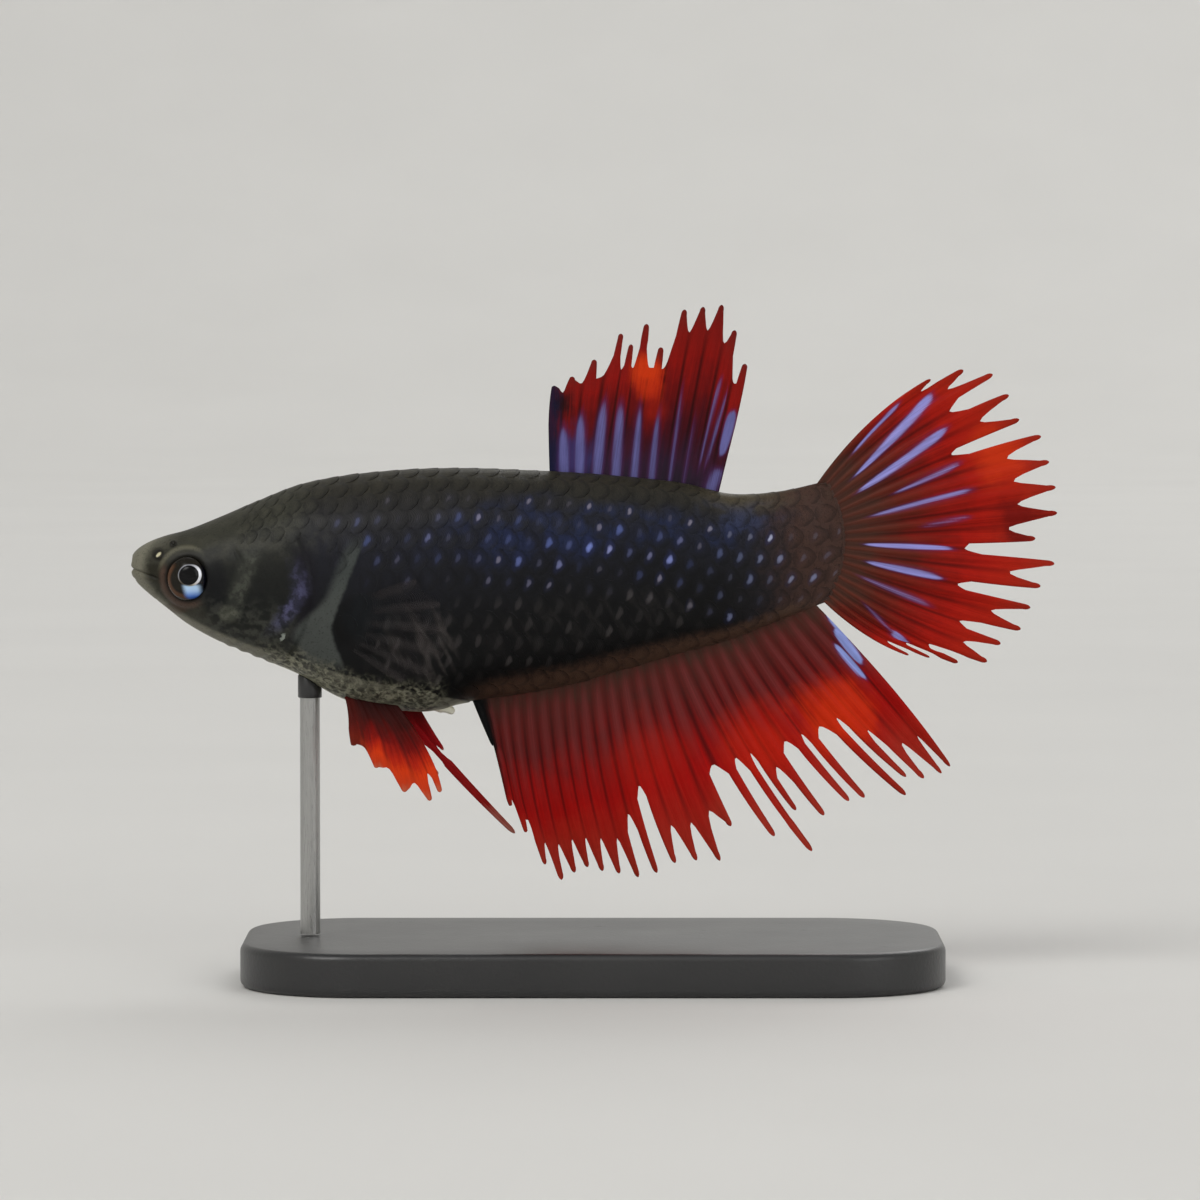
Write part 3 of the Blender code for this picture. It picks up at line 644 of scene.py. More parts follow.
rows, columns = skin_grid.shape[:2]
row_share, column_share = np.meshgrid(np.linspace(0, 1, rows), np.linspace(0, 1, columns), indexing="ij")
skin_chart = np.stack([row_share, column_share], axis=2)
skin = piece_from(
    "skin", skin_grid.reshape(-1, 3), [grid_quads(rows, columns)], skin_finish(),
    maps={"OFBake": skin_chart.reshape(-1, 2)}, values={"down": skin_down.ravel()},
)
dress(skin, "skin", "head", "lower_jaw", "gill_cover_left", "gill_cover_right", "trunk", "tail_stalk")

# %% [markdown]
# ## The coat of scales
# Betta scales overlap like roof tiles, front edge tucked in and rear edge free, in rows
# that keep step with the back. Each is its own thin plate here. The plates are laid by
# looking up points of the skin by distance along the body and round it from the back, so
# that every plate takes the curve of the flesh below.

# %% Looking up the skin
LENGTH_STEP = 0.1
left_columns = skin_lengths[:, -1]
length_places = np.arange(0.0, left_columns.max() + LENGTH_STEP, LENGTH_STEP)
column_at = np.stack([np.interp(length_places, row, np.arange(HALF_ROUND + 1)) for row in skin_lengths])
first_body, last_body = NOSE_RINGS, rows - TAIL_RINGS - 1
body_x = skin_grid[first_body:last_body + 1, 0, 0]
body_x = np.maximum.accumulate(body_x + np.arange(len(body_x)) * 1e-7)


def blended(table, row, column):
    """Bilinear look-up in an array at fractional rows and columns."""
    i = np.clip(row.astype(int), 0, table.shape[0] - 2)
    j = np.clip(column.astype(int), 0, table.shape[1] - 2)
    u, v = row - i, column - j
    if table.ndim == 3:
        u, v = u[..., None], v[..., None]
    top = table[i, j] * (1 - v) + table[i, j + 1] * v
    low = table[i + 1, j] * (1 - v) + table[i + 1, j + 1] * v
    return top * (1 - u) + low * u


def row_at(x):
    """The skin's row, as a fraction, at a place along the body."""
    return first_body + np.interp(x, body_x, np.arange(len(body_x)))


def half_round(row):
    """Length from the back's ridge to the belly's at a row."""
    return blended(skin_lengths[:, -1:].repeat(2, axis=1), row, np.zeros_like(row))


def on_skin(x, length):
    """Point, normal and down at a place along the body and a length round from the back."""
    row = row_at(x)
    full = half_round(row)
    length = np.clip(length, 0.0, full)
    column = blended(column_at, row, length / LENGTH_STEP)
    return blended(skin_grid, row, column), blended(skin_normal, row, column), length / full


# %% Where the scales sit
SCALE_PITCH = 1.20
ROW_PITCH = 1.26
SCALE_ROWS = 16
FIRST_X, LAST_X = -22.6, 13.9


def scale_size(x):
    """Share of full size: small on the head, full from the shoulder, less at the tail."""
    return 0.56 + 0.44 * ease(x, -22.0, -14.5) - 0.25 * ease(x, 11.0, 14.0)


def scale_places():
    """x and length round from the back of each scale, with its row; odd rows step half."""
    found = []
    along = [FIRST_X]
    while along[-1] < LAST_X:
        along.append(along[-1] + SCALE_PITCH * 0.5 * float(scale_size(along[-1])))
    along = np.array(along)
    for row in range(SCALE_ROWS):
        x = along[row % 2::2]
        length = (row + 0.5) * ROW_PITCH * np.where(x < -14.5, scale_size(x), 1.0)
        found.append(np.stack([x, length, np.full(len(x), row)], axis=1))
    return np.concatenate(found)


def bare_here(x, z):
    """1 on the shoulder's bare band."""
    behind = x - shoulder_edge(z)
    width = 0.95 + (1 - ease(z, 20.6, 23.4)) * 1.45
    inside = ease(-behind, -0.35, 0.0) * ease(behind + width, -0.3, 0.1)
    return inside * ease(z, 18.4, 19.2) * (1 - ease(z, 26.0, 26.8))


places = scale_places()
spot, _, share = on_skin(places[:, 0], places[:, 1])
at_x, at_z = spot[:, 0], spot[:, 2]
slit = np.abs(at_x - gill_edge(at_z) - 0.25)
keep = places[:, 1] < half_round(row_at(places[:, 0])) - 0.35  # clear of the belly's ridge
keep &= np.hypot(at_x - EYE[0], at_z - EYE[2]) > 2.2  # of the eye
keep &= ~((slit < 0.55) & (at_z < 27.0) & (at_z > 18.9))  # of the gap behind the gill cover
keep &= bare_here(at_x, at_z) < 0.5
keep &= ~((at_x < gill_edge(at_z)) & (at_z < 26.4))  # of the gill cover itself
keep &= at_x > -21.4  # of the face
keep &= ~((share > 0.9) & (at_x < -15.0))  # and of the throat
places = places[keep]
print(len(places), "scales on each side")

# %% [markdown]
# A scale is a small grid: its height rises from below the skin at the front to the free
# rear edge, which bows back in the middle. A short wall closes it down to a hidden floor,
# so each one is a solid. Its patch on the bake map is tiny and lies at its root.

# %% One scale, laid many times
ALONG, ACROSS = 6, 5
SCALE_LENGTH = 1.62  # as a share of the pitch, so that each scale covers the next one's front
BAKE_PATCH = 0.003
PLATE_DEPTH = 0.12  # from a plate's face to its hidden floor
DRAWS = 7  # where the random draws start, the same on both sides
ROW_GLOW = {2: 0.36, 3: 0.72, 4: 0.82, 5: 0.46, 6: 0.28}  # how bright the dots of a row are


def scale_coat(name, side, finish):
    """Plates: height = -0.05 + 0.105 a^0.8 (1 - 0.3 b^2), a from front to rear, b across."""
    seeded = np.random.default_rng(DRAWS)
    count = len(places)
    a, b = np.meshgrid(np.linspace(0, 1, ALONG), np.linspace(-1, 1, ACROSS), indexing="ij")
    size = scale_size(places[:, 0])[:, None, None]
    lean = seeded.normal(0.0, 0.007, (count, 1, 1))
    reach = (a - 0.5 - 0.20 * b**2 * a**2)[None] * SCALE_PITCH * SCALE_LENGTH * size
    width = (0.60 * ROW_PITCH * (1 - 0.10 * (1 - a) ** 2 - 0.12 * a**3))[None] * size * b[None]
    x = np.clip(places[:, 0, None, None] + reach, SNOUT, TAIL - 0.02)
    length = places[:, 1, None, None] + width
    point, normal, down = on_skin(x, length)
    rise = (-0.05 + 0.105 * a**0.8 * (1 - 0.3 * b**2))[None] * size + lean * a[None]
    rise = np.minimum(rise, COAT_DEPTH - 0.005)  # just short of the solids, but for the relief
    top = point + normal * rise[..., None]
    ring = np.concatenate([
        np.arange(ACROSS), np.arange(2, ALONG) * ACROSS - 1,
        np.arange(ALONG * ACROSS - 1, (ALONG - 1) * ACROSS - 1, -1),
        np.arange((ALONG - 2) * ACROSS, 0, -ACROSS),
    ])
    flat_top = top.reshape(count, -1, 3)
    flat_normal = normal.reshape(count, -1, 3)
    floor = flat_top[:, ring] - flat_normal[:, ring] * PLATE_DEPTH
    points = np.concatenate([flat_top, floor], axis=1)
    points[..., 1] *= side
    each = points.shape[1]
    around = len(ring)
    low = ALONG * ACROSS + np.arange(around)
    walls = np.stack([ring, np.roll(ring, -1), np.roll(low, -1), low], axis=1)
    start = (np.arange(count) * each)[:, None, None]
    tops = (grid_quads(ALONG, ACROSS)[None] + start).reshape(-1, 4)
    walls = (walls[None] + start).reshape(-1, 4)
    floors = (low[None, None] + start).reshape(-1, around)
    patch = np.stack([a, b * 0.5 + 0.5], axis=2).reshape(-1, 2)
    patch = np.concatenate([patch, patch[ring]])
    root_row = row_at(places[:, 0]) / (rows - 1)
    root_down = blended(column_at, root_row * (rows - 1), places[:, 1] / LENGTH_STEP) / (columns - 1)
    root = np.stack([root_row, root_down if side > 0 else 1 - root_down], axis=1)
    bake = root[:, None] + (patch[None] - 0.5) * BAKE_PATCH
    down = down.reshape(count, -1)
    down = np.concatenate([down, down[:, ring]], axis=1)
    mid_x = places[:, 0]
    mid_down = down[:, :ALONG * ACROSS].mean(axis=1)
    row = places[:, 2]
    glow = np.array([ROW_GLOW.get(int(one), 0.0) for one in row])
    glow *= 0.20 + 0.80 * ease(mid_x, -14.0, 0.0)
    glow *= 1 - 0.6 * ease(mid_x, 8.5, 11.0)
    tail_dot = seeded.choice([0.0, 0.0, 0.5, 1.0], count) * ease(mid_x, 8.0, 10.5)
    glow = glow * seeded.choice([0.10, 0.30, 0.60, 1.40], count)
    glow += 0.7 * tail_dot * (1 - ease(mid_down, 0.56, 0.68)) * ease(mid_down, 0.18, 0.26)
    glow = np.clip(glow, 0.0, 1.0) * ease(mid_x, -17.5, -14.0)
    hue = np.where(row == 2, 1.0, seeded.uniform(0.0, 1.0, count))
    values = {"down": down.ravel(), "glow": np.repeat(glow, each), "hue": np.repeat(hue, each)}
    maps = {"OFBake": bake.reshape(-1, 2), "plate": np.tile(patch, (count, 1))}
    return piece_from(
        name, points.reshape(-1, 3), [tops, walls, floors], finish, maps=maps, values=values, sharp=40.0,
    )


# %% Scale finish
def scale_finish():
    """The shared markings with their painted shade and highlight, a dark rim, one soft bright dot and fine
    growth rings.
    """
    made = Finish("betta_scales")
    colour = markings_and_painted_light(made)
    a, b = made.chart("plate")
    glow, hue, down = made.value("glow"), made.value("hue"), made.value("down")
    side = b - 0.5
    across = side.size()
    rim = (a + across * across * 0.6).step(0.78, 1.0)
    colour = made.mix(rim * 0.40, colour, rgb(8, 8, 10))
    colour = made.mix(a.step(0.62, 0.40) * 0.40, colour, rgb(8, 8, 10))
    wobble = made.noise(0.4, 1.0) - 0.5
    wide = 11.5 + hue * 6.0
    along = (a - 0.68 + side * 0.22 + wobble * 0.10) * wide
    over = (side + wobble * 0.10) * wide * 0.42
    away = along * along + over * over
    dot = away.step(2.0, 0.0)
    pale = made.mix(hue, rgb(108, 128, 204), rgb(160, 154, 172))
    pale = made.mix((made.x.step(6.0, 9.0) * 0.5), pale, rgb(186, 200, 240))
    haze = away.step(9.0, 0.4) * glow
    colour = made.mix(haze * 0.5, colour, rgb(36, 42, 84))
    colour = made.mix(dot * glow * 0.85, colour, pale)
    low = down.band(0.56, 0.84, 0.06) * made.x.step(-14.5, -12.0) * made.x.step(9.0, 5.0)
    mark = (along * along * 0.55 + over * over * 0.30).step(2.0, 0.1)
    colour = made.mix(mark * low * (0.10 + hue * hue * 0.45), colour, rgb(78, 74, 74))
    rings = made.node("ShaderNodeMath", {"operation": "SINE"}, {0: (a * a + across * across) * 70.0})
    relief = rings * 0.2 + made.noise(0.12, 2.0) * 0.8
    rough = 0.36 + made.noise(0.5, 2.0) * 0.16
    return made.finish(
        Base_Color=colour, Roughness=rough, Normal=made.raised(relief, 0.014), Coat_Weight=0.05,
        Coat_Roughness=0.22, Specular_IOR_Level=0.12,
    )


scales_made = scale_finish()
for name, side in (("scales_left", 1), ("scales_right", -1)):
    dress(scale_coat(name, side, scales_made), "skin")

# %% [markdown]
# ## Eyes
# A fish's eye has no lid. It is a shallow dome: a black pupil that bulges through a thin
# silver ring, a dark olive iris and a sky-blue arc low on it. The dome is turned from one
# profile, and the colours go by distance from its middle.

# %% Eyes
EYE_THICK = 0.80
EYE_TURN = math.radians(12.0)
EYE_RINGS, EYE_ROUND = 40, 73  # points from the middle to the edge, and round
PUPIL = (0.27, 0.23)  # the pupil's middle, back and up from the dome's


def eye_finish():
    """Rings and arcs by distance from the pupil, which sits behind and above the middle."""
    made = Finish("betta_eye")
    u, v = made.chart("disc")
    right, up = u - PUPIL[0], v - PUPIL[1]
    out = (right * right + up * up) ** 0.5
    edge = (u * u + v * v) ** 0.5
    grain = made.noise(0.12, 3.0, made.joined(u * 6.0, v * 6.0))
    iris = made.mix(grain, rgb(12, 11, 9), rgb(34, 29, 19))
    rust = (right + up * 0.45).step(-0.45, -1.0) * (edge - 1.04).size().step(0.22, 0.04)
    iris = made.mix(rust * (0.35 + grain * 0.6), iris, rgb(96, 62, 38))
    iris = made.mix(right.step(0.45, 0.85) * 0.9, iris, rgb(9, 10, 22))
    low = up.step(-0.48, -0.68) * (right + up * 0.16 + (grain - 0.5) * 0.2).band(-0.42, 0.48, 0.2)
    low = low * out.band(0.60, 1.38, 0.14)
    blue = made.mix((up + 1.25 + (grain - 0.5) * 0.3).step(-0.15, 0.5), rgb(52, 106, 204), rgb(186, 218, 252))
    iris = made.mix(low, iris, blue)
    back = (right / (out + 0.01)).step(0.0, 0.95)
    ring = out.step(0.57, 0.60) * (0.645 + back * 0.075 - out).step(-0.03, 0.025)
    silver = made.mix((up - right * 0.4).step(0.3, -0.5), rgb(226, 228, 240), rgb(208, 192, 150))
    silver = made.mix(back, silver, rgb(240, 242, 250))
    bright = made.scaled(silver, 0.34 + back * 0.58)
    iris = made.mix(ring * (up + right * 0.5).step(-0.85, -0.45), iris, bright)
    iris = made.mix(out.step(0.59, 0.55), iris, rgb(2, 2, 4))
    return made.finish(
        Base_Color=iris, Roughness=0.18 + grain * 0.08, Coat_Weight=0.10, Coat_Roughness=0.03,
        Specular_IOR_Level=0.15, Metallic=ring * 0.2,
    )


def eye_piece(name, side, finish):
    """Dome: depth = thick sqrt(1 - r^2) plus a swell of the pupil, turned 12 degrees forward."""
    radial = np.concatenate([np.linspace(0.0, 1.0, EYE_RINGS)[:-1], np.ones(1), np.linspace(0.96, 0.0, 8)])
    front = np.arange(len(radial)) < EYE_RINGS
    angle = np.linspace(0.0, 2 * math.pi, EYE_ROUND)
    u = radial[:, None] * EYE_RADIUS * np.cos(angle)
    v = radial[:, None] * EYE_RADIUS * EYE_TALL * np.sin(angle)
    from_pupil = np.hypot(u - PUPIL[0], v - PUPIL[1])
    depth = EYE_THICK * np.sqrt(np.clip(1 - radial**2, 0, 1))[:, None]
    swell = 0.05 * (1 - ease(from_pupil, 0.42, 0.66)) - 0.03 * bump(from_pupil - 0.90, 0.20)
    out = np.where(front[:, None], depth * 0.93 + swell * (depth > 0.05), -depth * 0.6)
    x = u * math.cos(EYE_TURN) - out * math.sin(EYE_TURN)
    y = u * math.sin(EYE_TURN) + out * math.cos(EYE_TURN)
    points = np.stack([EYE[0] + SHIFT + x, side * (EYE[1] + y), EYE[2] + floor_z + v], axis=2)
    chart = np.stack([u, v], axis=2).reshape(-1, 2)
    return piece_from(name, points.reshape(-1, 3), [grid_quads(*u.shape)], finish, maps={"disc": chart})


eye_look = eye_finish()
for name, side in (("eye_dome_left", -1), ("eye_dome_right", 1)):
    dress(eye_piece(name, side, eye_look), "eye", "eye_left" if side < 0 else "eye_right")

# %% [markdown]
# ## The egg spot
# A female betta carries a short white tube in front of the anal fin. A stretched ball would
# look stuck on, so it is a turned profile that leaves the belly with a flare and leans back.

# %% Egg spot
EGG_SPOT = (-8.95, 16.38)
EGG_SPOT_LENGTH = 0.72
EGG_SPOT_LEAN = math.radians(62.0)


def egg_tube():
    """Radius 0.30 - 0.10 t + 0.12 (1 - t)^6, rounded off at t = 1, along a leaning line."""
    made = Finish("egg_spot_white")
    colour = made.mix(made.noise(0.25, 3.0), rgb(214, 210, 186), rgb(240, 238, 224))
    look = made.finish(
        Base_Color=colour, Roughness=0.32, Normal=made.raised(made.noise(0.1, 2.0), 0.02), Coat_Weight=0.3,
    )
    t = np.concatenate([np.linspace(-0.9, 0.75, 14), 0.75 + 0.25 * np.sin(np.linspace(0.15, math.pi / 2, 9))])
    radius = 0.30 - 0.10 * t + 0.12 * np.clip(1 - t, 0, 1) ** 6
    radius = radius * np.sqrt(np.clip(1 - np.clip((t - 0.75) / 0.25, 0, 1) ** 2, 0, 1))
    radius[0] = 0.0
    angle = np.linspace(0, 2 * math.pi, 33)
    fold = 1 + 0.05 * np.sin(5 * angle)
    side = radius[:, None] * fold * np.sin(angle) * 0.8
    up = radius[:, None] * fold * np.cos(angle)
    along = (t * EGG_SPOT_LENGTH)[:, None]
    x = EGG_SPOT[0] + along * math.sin(EGG_SPOT_LEAN) + up * math.cos(EGG_SPOT_LEAN)
    z = EGG_SPOT[1] - along * math.cos(EGG_SPOT_LEAN) + up * math.sin(EGG_SPOT_LEAN)
    points = np.stack([x, side, z], axis=2)
    return piece_from("egg_tube", points.reshape(-1, 3), [grid_quads(*points.shape[:2])], look)


dress(egg_tube(), "skin")

# %% [markdown]
# ## Fins
# A crowntail's rays run on past the membrane, each edged with a narrow fleshy web. A ray
# here is a ribbon with a ridge, and a web is a thin sheet between two ribbons that dips
# where it ends. The sheet's middle surface comes first and is then given its thickness.

# %% Rays
KNOTS = 7  # a ray's steps: 4 to the membrane's margin, 3 past it
FINE = 8  # rows of points for each step
RAY_ROWS = KNOTS * FINE + 1
WEB_COLUMNS = 5
STEPS_OUT = np.linspace(0, KNOTS, RAY_ROWS)
LAST = KNOTS - 1  # in the step after this knot, the tip's, the rows of points draw closer
STEPS_OUT = np.where(STEPS_OUT > LAST, LAST + np.sin((STEPS_OUT - LAST) * math.pi / 2), STEPS_OUT)
RIBBON = np.array([-1.0, -0.6, 0.0, 0.6, 1.0])
ROOT_DEPTH = 0.7
RAY_HALF_WIDTH = 0.3
RAY_SHARES = (0.2, 0.36)  # half a ray's most, of the way to the next: at step 0, and from 5 on
TIP_ROUND = 0.2  # share of the last step that the rounded tip takes
CHART_HALF = 0.22  # half a ray's width on the fin's chart, where rays stand 1 apart
RAY_THICK = 0.19
WEB_THICK = 0.035


def ray_curve(root, tip, bow, margin):
    """Line from root to tip, swung out by 4 bow t (1 - t); margin sets where webs end."""
    root, tip = np.array(root, float), np.array(tip, float)
    if margin > 1:
        margin = min(margin / np.linalg.norm(tip - root), 0.9)
    knots = np.concatenate([np.linspace(0.0, margin, 5), np.linspace(margin, 1.0, 4)[1:]])
    t = np.interp(STEPS_OUT, np.arange(KNOTS + 1), knots)[:, None]
    along = tip - root
    across = np.array([-along[1], along[0]])
    return root + along * t + across * bow * 4 * t * (1 - t)


def room_between(curves):
    """How far each point of each ray lies from the nearer of its neighbours."""
    room = np.full(curves.shape[:2], np.inf)
    for i in range(len(curves) - 1):
        away = np.linalg.norm(curves[i][:, None] - curves[i + 1][None], axis=2)
        room[i] = np.minimum(room[i], away.min(axis=1))
        room[i + 1] = np.minimum(room[i + 1], away.min(axis=0))
    return room


def ribbons(curves):
    """Points across each ray: the curve plus its normal times half width and a in -1..1.

    The width falls by 0.5 t^4 and the tip is a half ellipse, 0.2 of the last step long.
    """
    shares = np.interp(STEPS_OUT, (0, 5), RAY_SHARES)
    width = np.minimum(RAY_HALF_WIDTH, shares * room_between(curves))
    past = np.clip((STEPS_OUT - KNOTS + TIP_ROUND) / TIP_ROUND, 0.0, 1.0)
    width = width * (1 - 0.5 * (STEPS_OUT / KNOTS) ** 4) * np.sqrt(np.clip(1 - past**2, 0.01, 1.0))
    tangent = np.gradient(curves, axis=1)
    tangent /= np.linalg.norm(tangent, axis=2, keepdims=True)
    across = np.stack([-tangent[..., 1], tangent[..., 0]], axis=2)
    across *= np.sign((across * (curves[-1] - curves[0])).sum(axis=(1, 2)))[:, None, None]
    return curves[:, :, None] + across[:, :, None] * (width[..., None] * RIBBON)[..., None]


# %% A fin's middle surface
def fin_sheet(curves, webs, notch):
    """Points (x, z), chart (ray number, share out), half thickness and cells of a fin.

    A web's column c ends at reach (1 - dip) along its two rays, so that its margin is
    scalloped: dip = notch times reach times (1 - |2c - 1|^1.6), plus a slight slant.
    """
    spans = ribbons(curves)
    t = STEPS_OUT / KNOTS
    points, charts, thick, cells = [], [], [], []
    start = 0
    for i, span in enumerate(spans):
        along = (1 - 0.72 * t**1.5) * (0.3 + 0.7 * ease(t, 0.10, 0.36))
        ridge = (1 - RIBBON**2)[None] * along[:, None]
        groove = 0.35 * bump(RIBBON, 0.35)[None] * ease(t, 0.35, 0.6)[:, None]
        points.append(span.reshape(-1, 2))
        chart = np.broadcast_arrays(i + CHART_HALF * RIBBON[None], t[:, None])
        charts.append(np.stack(chart, axis=2).reshape(-1, 2))
        thick.append((WEB_THICK * 0.8 + (RAY_THICK - WEB_THICK) * ridge * (1 - groove)).ravel())
        cells.append(grid_quads(RAY_ROWS, len(RIBBON)) + start)
        start += span.shape[0] * span.shape[1]
    for i, reach in enumerate(webs):
        edge = int(round(min(reach * FINE + FINE * 0.5, RAY_ROWS - 3)))
        c = np.linspace(0.0, 1.0, WEB_COLUMNS + 2)[None]
        tilted = 0.05 * np.sin(7.0 * i + 1.0) * (2 * c - 1)
        off_middle = np.abs(2 * c - 1)
        dip = notch * (edge / RAY_ROWS) * (1 - off_middle**1.6) + tilted * (1 - off_middle)
        row = np.arange(edge + 1)[:, None] * (1 - dip)
        left, right = spans[i][:, -1], spans[i + 1][:, 0]
        low = np.minimum(row.astype(int), RAY_ROWS - 2)
        part = (row - low)[..., None]
        sides = [line[low] * (1 - part) + line[low + 1] * part for line in (left, right)]
        sheet = sides[0] * (1 - c[..., None]) + sides[1] * c[..., None]
        points.append(sheet.reshape(-1, 2))
        u = i + CHART_HALF + (1 - 2 * CHART_HALF) * c + 0 * row
        out_share = np.interp(row, np.arange(RAY_ROWS), t)
        charts.append(np.stack([u, out_share], axis=2).reshape(-1, 2))
        thick.append(np.full(sheet.shape[:2], WEB_THICK).ravel())
        cells.append(grid_quads(edge + 1, WEB_COLUMNS + 2) + start)
        start += sheet.shape[0] * sheet.shape[1]
    return np.concatenate(points), np.concatenate(charts), np.concatenate(thick), np.concatenate(cells)


def fin_piece(name, curves, webs, sway, finish, sheen=(), notch=0.16, thickness=1.0):
    """The sheet at y = sway(u, out), made solid by moving its two faces apart along y.

    Each sheen is a streak: its ray and share out at one end, the same at the other, then
    its half width in rays and its strength.
    """
    curves = np.array(curves)
    points, chart, thick, cells = fin_sheet(curves, webs, notch)
    u = chart[:, 0] / (len(curves) - 1)
    numbers = np.arange(len(curves))
    root = np.stack([np.interp(chart[:, 0], numbers, curves[:, 0, k]) for k in (0, 1)], axis=1)
    out = np.linalg.norm(points - root, axis=1)
    y = sway(u, out)
    key = np.round(points * 1e4).astype(np.int64)
    _, first, index = np.unique(key, axis=0, return_index=True, return_inverse=True)
    index = index.reshape(-1)
    cells = index[cells]
    points, chart, thick, y, out = points[first], chart[first], thick[first], y[first], out[first]
    count = len(points)
    front = np.stack([points[:, 0], y - thick * thickness, points[:, 1]], axis=1)
    back = np.stack([points[:, 0], y + thick * thickness, points[:, 1]], axis=1)
    ends = np.concatenate([cells[:, [k, (k + 1) % 4]] for k in range(4)])
    ends = ends[ends[:, 0] != ends[:, 1]]
    _, where, times = np.unique(np.sort(ends, axis=1), axis=0, return_index=True, return_counts=True)
    rim = ends[where[times == 1]]
    walls = np.stack([rim[:, 0], rim[:, 1], rim[:, 1] + count, rim[:, 0] + count], axis=1)
    faces = [cells, cells[:, ::-1] + count, walls]
    shine = np.zeros(count)
    for first_ray, start, last_ray, end, half, strength in sheen:
        along = (chart[:, 1] - start) / (end - start)
        taper = np.clip(1 - np.abs(2 * along - 1) ** 2.4, 0.0, 1.0)
        middle = chart[:, 0] - first_ray - (last_ray - first_ray) * along
        away = middle / (half * (0.3 + 0.7 * taper))
        shine = np.maximum(shine, strength * ease(taper, 0.0, 0.7) * np.exp(-np.abs(away) ** 2.6))
    return piece_from(
        name, np.concatenate([front, back]), faces, finish, maps={"rays": np.concatenate([chart, chart])},
        values={"shine": np.tile(shine, 2), "out": np.tile(out, 2)}, sharp=70.0,
    )


def leaning_rays(roots, leans, tilts, lengths, upward, bows, margin):
    """Rays from roots on the body's edge, each leaning back from the vertical and bowed."""
    curves = []
    for i, ((x, z), lean, length, bow) in enumerate(zip(roots, leans, lengths, bows)):
        lean += math.radians(tilts.get(i, 0.0))
        tip = (x + length * math.sin(lean), z + upward * length * math.cos(lean))
        start = (x - ROOT_DEPTH * math.sin(lean), z - upward * ROOT_DEPTH * math.cos(lean))
        curves.append(ray_curve(start, tip, bow, margin))
    return curves


# %% [markdown]
# A fin's colour follows its rays: brown at the root, then maroon, deep red near the
# membrane's edge and orange on the free rays, with lilac sheen on some. The pattern reads
# the fin's own chart, ray number by share of the way out, so it bends with the rays.

# %% Fin finish
def fin_finish(
    name, bands, line=0.6, ray_tint=None, sheen=rgb(128, 128, 200), clear=None, front=None, glow=(),
):
    """bands: colours by share of the way out. line: how dark the webs' middles are.

    ray_tint: (colour, amount) of the rays' pale middles near the root. clear: how solid
    rays and webs are. front: (ray, colour, amount) up to a ray, and glow: warm patches.
    """
    made = Finish(name)
    u, v = made.chart("rays")
    shine = made.value("shine")
    grain = made.noise(1.0, 3.0, made.joined(u * 6.0, v * 7.0))
    threads = made.noise(1.0, 3.0, made.joined(u * 16.0, v * 2.5, 3.0))
    patchy = made.noise(1.8, 3.0)
    place = v + (grain - 0.5) * 0.14 + (patchy - 0.5) * 0.22 + (threads - 0.5) * 0.10
    colour = place.ramp(*bands)
    off = (u - u.node("ShaderNodeMath", {"operation": "ROUND"}, {0: u})).size()
    off = off + (threads - 0.5) * 0.12
    ray = off.step(0.34, 0.05)
    if ray_tint:
        tint, amount = ray_tint
        near = v.step(0.62, 0.30) * v.step(0.02, 0.14)
        colour = made.mix(ray * near * amount * (0.4 + threads), colour, tint)
    dark = off.step(0.30, 0.50) * v.step(0.98, 0.50) * (0.2 + v.step(0.08, 0.34) * 0.8) * line
    colour = made.scaled(colour, (1 - dark) * (0.62 + threads * 0.45 + patchy * 0.25))
    for x, z, radius, tint, amount in glow:
        ends = {0: made.joined(made.x, 0.0, made.z), 1: (x, 0.0, z)}
        away = made.node("ShaderNodeVectorMath", {"operation": "DISTANCE"}, ends, 1)
        away = away + ((patchy - 0.5) * 1.2 + (threads - 0.5) * 0.7) * radius
        colour = made.mix(away.step(radius, radius * 0.2) * amount, colour, tint)
    if front:
        last, tint, amount = front
        colour = made.mix((u + (grain - 0.5) * 0.8).step(last + 0.5, last - 0.3) * amount, colour, tint)
    tone = made.mix((shine + (threads - 0.5) * 0.4).step(0.30, 0.85), rgb(84, 44, 96), sheen)
    tone = made.mix(grain.step(0.42, 0.62) * 0.4, tone, made.scaled(tone, 0.66))
    colour = made.mix((shine * (0.35 + threads * 1.1)).least(1.0), colour, tone)
    joints = made.node("ShaderNodeMath", {"operation": "SINE"}, {0: v * 150.0})
    relief = joints * ray * 0.10 + threads * 0.55 + grain * 0.3
    return made.finish(
        Base_Color=colour, Roughness=0.46 + grain * 0.16, Normal=made.raised(relief, 0.03),
        Alpha=1.0 if clear is None else clear[1] + (clear[0] - clear[1]) * ray,
        Coat_Weight=0.02, Coat_Roughness=0.25, Specular_IOR_Level=0.08,
    )


# %% Dorsal fin
DORSAL_X = (-2.40, 7.40)
DORSAL_LENGTHS = (5.0, 5.6, 6.7, 8.4, 7.8, 9.1, 7.8, 10.2, 10.5, 10.8, 9.5, 7.7)
DORSAL_WEBS = (7, 6, 5, 5, 5, 5, 5, 6, 6, 6, 5)
DORSAL_TILTS = {2: 2.0, 3: 4.5, 4: 2.0}  # degrees that single rays lean back past their place
DORSAL_BOW = 0.005


def shares_of(rays):
    """Each ray's share of the way from the first ray to the last."""
    return [i / (len(rays) - 1) for i in range(len(rays))]


def dorsal_sway(u, out):
    """y of the middle surface: a wave along the fin that grows with out to the power 1.5."""
    return 0.02 * out**1.5 * np.sin(2.2 * math.pi * u + 0.4)


